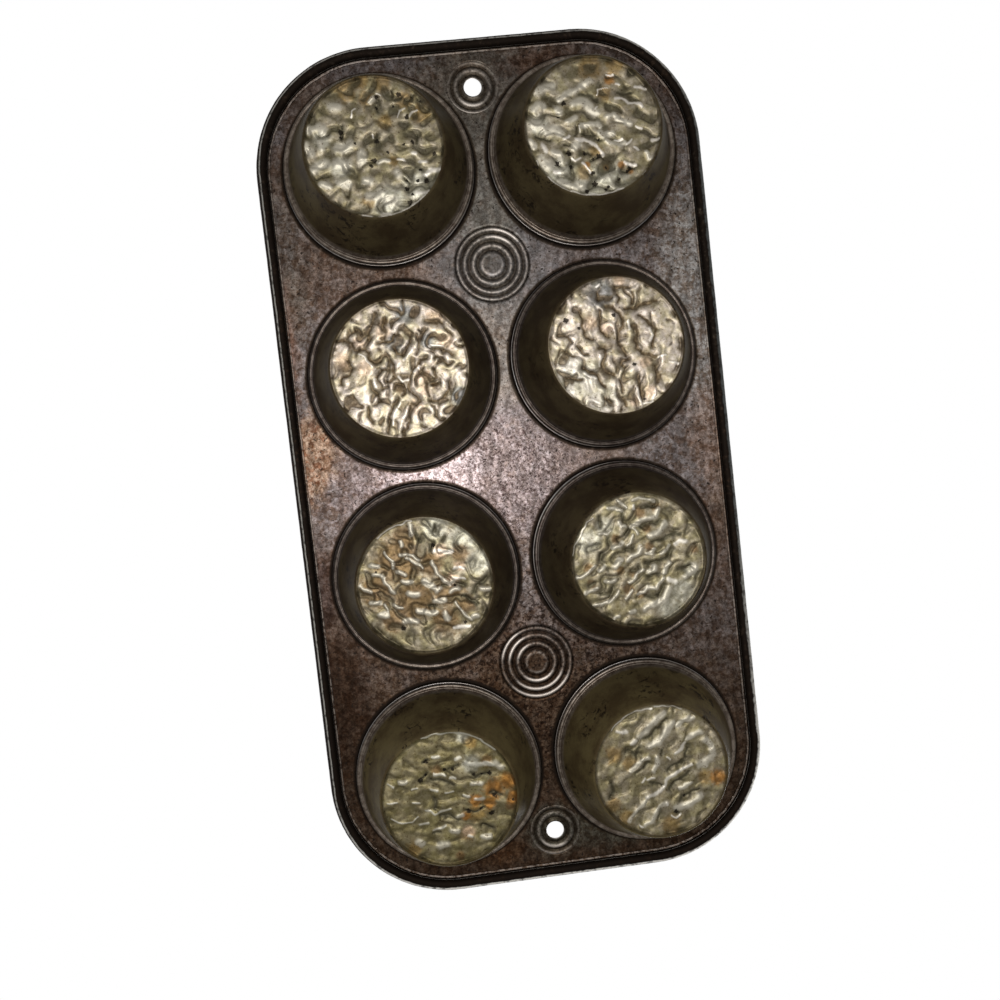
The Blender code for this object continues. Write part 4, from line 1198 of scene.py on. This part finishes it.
def cup_outside():
    """Dark olive-brown patina on the wall, a grey bead, a brighter crimped bottom with grime and stains,
    and painted light and shade on each of them.
    """
    f = Finish("cup_outside")
    broad = f.noise(11 * MM, 4, 0.6, 61)
    mottle = f.noise(2.4 * MM, 5, 0.7, 67, warp=0.5)
    grain = f.noise(0.8 * MM, 3, 0.7, 71)
    granular = f.noise(1.3 * MM, 4, 0.75, 73, warp=0.6)
    hue = f.noise(5.5 * MM, 4, 0.65, 79)
    groove = f.attribute("groove")
    clean = f.attribute("clean")
    ragged = f.math("SUBTRACT", mottle, 0.5)
    fine_ragged = f.math("SUBTRACT", grain, 0.5)

    # Painted light and shade: walls and beads darker in the middle rows, walls lighter at the foot, beads
    # lighter towards both ends.
    middle = f.patch(0, 0, 400, 130, 0, 0.1)
    wall = f.mix(f.step(broad, 0.35, 0.65), (0.060, 0.045, 0.021), (0.034, 0.023, 0.011))
    wall = f.graded(wall, middle, WHITE, (0.80, 0.78, 0.82))
    wall = f.graded(wall, f.patch(0, -128, 300, 60, 0, 0.1), WHITE, (1.55, 1.57, 1.45))
    flakes = f.step(f.noise(2.6 * MM, 5, 0.7, 107, warp=0.8), 0.53, 0.58, 0, 0.9)
    flakes = f.product(flakes, f.step(f.noise(14 * MM, 2, 0.5, 127), 0.50, 0.62, 0.12, 1))
    wall = f.mix(flakes, wall, (0.008, 0.005, 0.003))
    wall = f.mix(f.step(grain, 0.66, 0.74, 0, 0.5), wall, (0.15, 0.13, 0.08))
    # Painted shade: near black in the valley under the bead.
    wall = f.mix(f.attribute("valley"), wall, (0.004, 0.003, 0.002))
    # The bead's painted light and shade: lighter towards the ends, darker in the middle rows.
    bead = f.mix(middle, (0.27, 0.225, 0.183), (0.100, 0.082, 0.070))
    bead = f.tinted(f.step(mottle, 0.4, 0.6), bead, (0.52, 0.48, 0.46))
    wall = f.mix(f.attribute("bead"), wall, bead)

    crest = f.mix(clean, (0.186, 0.158, 0.088), (0.68, 0.60, 0.50))
    crest = f.graded(crest, f.step(hue, 0.38, 0.62), (0.88, 0.87, 0.74), (1.12, 1.11, 1.18))
    crest = f.tinted(f.step(mottle, 0.48, 0.68, 0, 0.45), crest, (0.70, 0.62, 0.46))
    for name, tint, amount in STAIN_TINTS:
        edge = f.sum(f.attribute(name), f.product(ragged, 0.9))
        crest = f.mix(f.step(edge, 0.12, 0.75, 0, amount), crest, tint)
    # The hollows' colour: grime, and painted shade where the crimps dip.
    dull_hollow = f.mix(f.step(mottle, 0.4, 0.6), (0.096, 0.086, 0.054), (0.064, 0.055, 0.034))
    bright_hollow = f.mix(f.step(mottle, 0.4, 0.6), (0.130, 0.092, 0.050), (0.070, 0.045, 0.023))
    grime_and_shade = f.mix(f.step(clean, 0.2, 0.7), dull_hollow, bright_hollow)
    hollow_dark = f.step(f.sum(groove, f.product(ragged, 0.25)), 0.06, 0.90, 0, 0.95)
    disc = f.mix(hollow_dark, crest, grime_and_shade)
    # Painted highlight: the crimps' tops lighter, most on dull bottoms.
    top_highlight = f.mix(clean, (1.62, 1.66, 1.70), (1.06, 1.07, 1.10))
    disc = f.tinted(f.attribute("top"), disc, top_highlight)
    disc = f.graded(disc, f.step(granular, 0.36, 0.64), (0.82, 0.80, 0.74), (1.14, 1.14, 1.14))
    # Painted shade over the rim of the bottom.
    disc = f.graded(disc, f.attribute("edge"), WHITE, (0.22, 0.20, 0.17))
    # Pale crests along the traced ridges, partly a painted highlight.
    ridge = f.sum(f.attribute("ridge"), f.product(fine_ragged, 0.5))
    ridge_color = f.mix(clean, (0.52, 0.48, 0.38), (0.92, 0.84, 0.72))
    disc = f.mix(f.step(ridge, 0.1, 0.9, 0, 0.85), disc, ridge_color)
    # Painted highlights along the traced gleams and the disc's rim.
    gleam = f.sum(f.attribute("gleam"), f.product(fine_ragged, 0.6))
    gleam = f.step(gleam, 0.15, 1.05, 0, 0.85)
    dots = f.step(f.noise(0.9 * MM, 2, 0.5, 109), 0.63, 0.70, 0, 0.65)
    disc = f.tinted(dots, disc, (0.25, 0.18, 0.12))
    pitted = f.sum(f.attribute("pits"), f.product(fine_ragged, 2.0))
    disc = f.mix(f.step(pitted, 0.45, 0.60, 0, 0.95), disc, (0.018, 0.014, 0.010))

    worn = f.sum(f.attribute("bottom"), f.product(ragged, 1.0))
    on_bottom = f.step(worn, 0.35, 0.95)
    color = f.mix(on_bottom, wall, disc)
    # The painted highlights go on last, over the wall and the bottom.
    gleam_color = f.mix(f.step(clean, 0, 0.3), (0.56, 0.53, 0.44), (0.90, 0.83, 0.74))
    color = f.mix(gleam, color, gleam_color)
    metallic = f.step(on_bottom, 0.0, 0.6, 0.10, 0.72)
    metallic = f.math("MAXIMUM", metallic, f.product(f.attribute("bead"), 0.9))
    roughness = f.step(f.attribute("bead"), 0.2, 0.8, 0.50, 0.40)
    f.shader.inputs["Specular IOR Level"].default_value = 0.06
    height = f.sum(f.product(granular, 0.6), mottle)
    normal = f.bump(height, 0.05 * MM, 0.6)
    return f.finish(color, roughness, metallic, normal)


def cup_inside():
    """Used tin: warm grey with a mottled brown bloom."""
    f = Finish("cup_inside")
    broad = f.noise(14 * MM, 4, 0.6, 83)
    mottle = f.noise(3.5 * MM, 5, 0.6, 89)
    grain = f.noise(0.8 * MM, 3, 0.6, 97)
    color = f.mix(f.step(broad, 0.35, 0.65), (0.44, 0.42, 0.39), (0.33, 0.28, 0.23))
    color = f.mix(f.step(mottle, 0.52, 0.72, 0, 0.6), color, (0.20, 0.15, 0.11))
    color = f.mix(f.product(f.attribute("groove"), 0.35), color, (0.52, 0.50, 0.46))
    normal = f.bump(f.sum(f.product(grain, 0.5), mottle), 0.05 * MM, 0.6)
    return f.finish(color, f.step(mottle, 0.3, 0.7, 0.30, 0.44), 0.95, normal)


def wire_steel():
    f = Finish("wire_steel")
    drawn = f.noise(1.2 * MM, 3, 0.6, 101)
    color = f.mix(f.step(drawn, 0.4, 0.65), (0.36, 0.34, 0.32), (0.20, 0.14, 0.11))
    return f.finish(color, f.step(drawn, 0.3, 0.7, 0.35, 0.5), 1.0, f.bump(drawn, 0.03 * MM, 0.5))


# Stage, light and camera

CAMERA_PLACE = Vector((28.1, 3.8, -352.4)) * MM
CAMERA_AIM = Vector((7.5, -13.4, 31.0)) * MM
CAMERA_ROLL = -6.41
CAMERA_LENS = 34.17
FLOOR_REACH = 2.4
FLOOR_CLEAR = 0.45
FLOOR_GAP = 0.4 * MM
FLOOR_COLOR = (0.86, 0.86, 0.85, 1)
HORIZON = 0.15
SKY_GLOSS = 1.0
GROUND_GLOSS = 0.30
DIFFUSE_LEVEL = 0.5


def turned(place, aim, roll):
    """The matrix of a camera or lamp at a place that looks at the aim, its top roll degrees from +Y to +X."""
    forward = (aim - place).normalized()
    hint = Vector((sin(radians(roll)), cos(radians(roll)), 0))
    right = forward.cross(hint).normalized()
    up = right.cross(forward)
    basis = Matrix((right, up, -forward)).transposed().to_4x4()
    return Matrix.Translation(place) @ basis


def make_camera():
    data = bpy.data.cameras.new("camera")
    data.lens = CAMERA_LENS
    data.sensor_width = 36
    data.clip_start = 0.01
    camera = bpy.data.objects.new("camera", data)
    camera.matrix_world = turned(CAMERA_PLACE, CAMERA_AIM, CAMERA_ROLL)
    bpy.context.scene.collection.objects.link(camera)
    bpy.context.scene.camera = camera


def make_lamp(name, place, aim, size, power):
    data = bpy.data.lights.new(name, "AREA")
    data.shape = "DISK"
    data.size = size
    data.energy = power
    lamp = bpy.data.objects.new(name, data)
    lamp.matrix_world = turned(Vector(place), Vector(aim), 0)
    lamp.visible_camera = False
    bpy.context.scene.collection.objects.link(lamp)


def make_floor():
    """A pale floor that only a camera above it sees, so that the camera and lamp below it reach the pan."""
    bm = bmesh.new()
    bmesh.ops.create_grid(bm, x_segments=1, y_segments=1, size=FLOOR_REACH)
    mesh = bpy.data.meshes.new("floor")
    bm.to_mesh(mesh)
    bm.free()
    floor = bpy.data.objects.new("floor", mesh)
    floor.location.z = cad_low.z - FLOOR_GAP
    bpy.context.scene.collection.objects.link(floor)

    material = bpy.data.materials.new("floor")
    material.use_nodes = True
    material.node_tree.nodes.clear()
    n = Nodes(material.node_tree)
    camera_ray = n.node("ShaderNodeLightPath")["Is Camera Ray"]
    backfacing = n.node("ShaderNodeNewGeometry")["Backfacing"]
    place = n.node("ShaderNodeTexCoord")["Object"]
    distance = n.node("ShaderNodeVectorMath", {0: place}, operation="LENGTH")["Value"]
    fade = n.step(distance, FLOOR_CLEAR, FLOOR_REACH * 0.9, 1, 0, curve="LINEAR")
    from_above = n.math("SUBTRACT", camera_ray, backfacing, clamp=True)
    clear = n.node("ShaderNodeBsdfTransparent")["BSDF"]
    pale = n.node("ShaderNodeBsdfDiffuse", {"Color": FLOOR_COLOR})["BSDF"]
    mixed = n.node("ShaderNodeMixShader", {0: n.product(from_above, fade), 1: clear, 2: pale})["Shader"]
    n.node("ShaderNodeOutputMaterial", {"Surface": mixed})
    mesh.materials.append(material)


def make_world():
    """White for the camera; for the metal white above the horizon and grey ground below; plain fill light."""
    world = bpy.data.worlds.new("studio")
    bpy.context.scene.world = world
    world.use_nodes = True
    world.node_tree.nodes.clear()
    n = Nodes(world.node_tree)
    path = n.node("ShaderNodeLightPath")
    direction = n.node("ShaderNodeTexCoord")["Generated"]
    height = n.node("ShaderNodeSeparateXYZ", {"Vector": direction})["Z"]
    gloss = n.step(height, -HORIZON, HORIZON, GROUND_GLOSS, SKY_GLOSS)
    mirrored = n.math("MAXIMUM", path["Is Glossy Ray"], path["Is Transmission Ray"])
    seen = n.node("ShaderNodeMix", {"A": DIFFUSE_LEVEL, "Factor": mirrored, "B": gloss})["Result"]
    level = n.node("ShaderNodeMix", {"A": seen, "Factor": path["Is Camera Ray"], "B": 1})["Result"]
    background = n.node("ShaderNodeBackground", {"Color": (*WHITE, 1), "Strength": level})["Background"]
    n.node("ShaderNodeOutputWorld", {"Surface": background})


def dress_wire():
    wire = NODES["rim_wire"]
    wire.data.materials.clear()
    wire.data.materials.append(wire_steel())


make_camera()
make_world()
make_floor()
make_lamp("front_lamp", place=(0.028, 0.004, -0.35), aim=(0.0, 0.0, 0.031), size=0.12, power=0.75)
make_lamp("top_lamp", place=(-0.35, -0.5, 1.1), aim=(0, 0, 0), size=1.2, power=14)
make_plate(plate_top(), plate_underside())
make_cups(cup_outside(), cup_inside())
dress_wire()

bpy.context.scene.view_settings.view_transform = "Standard"
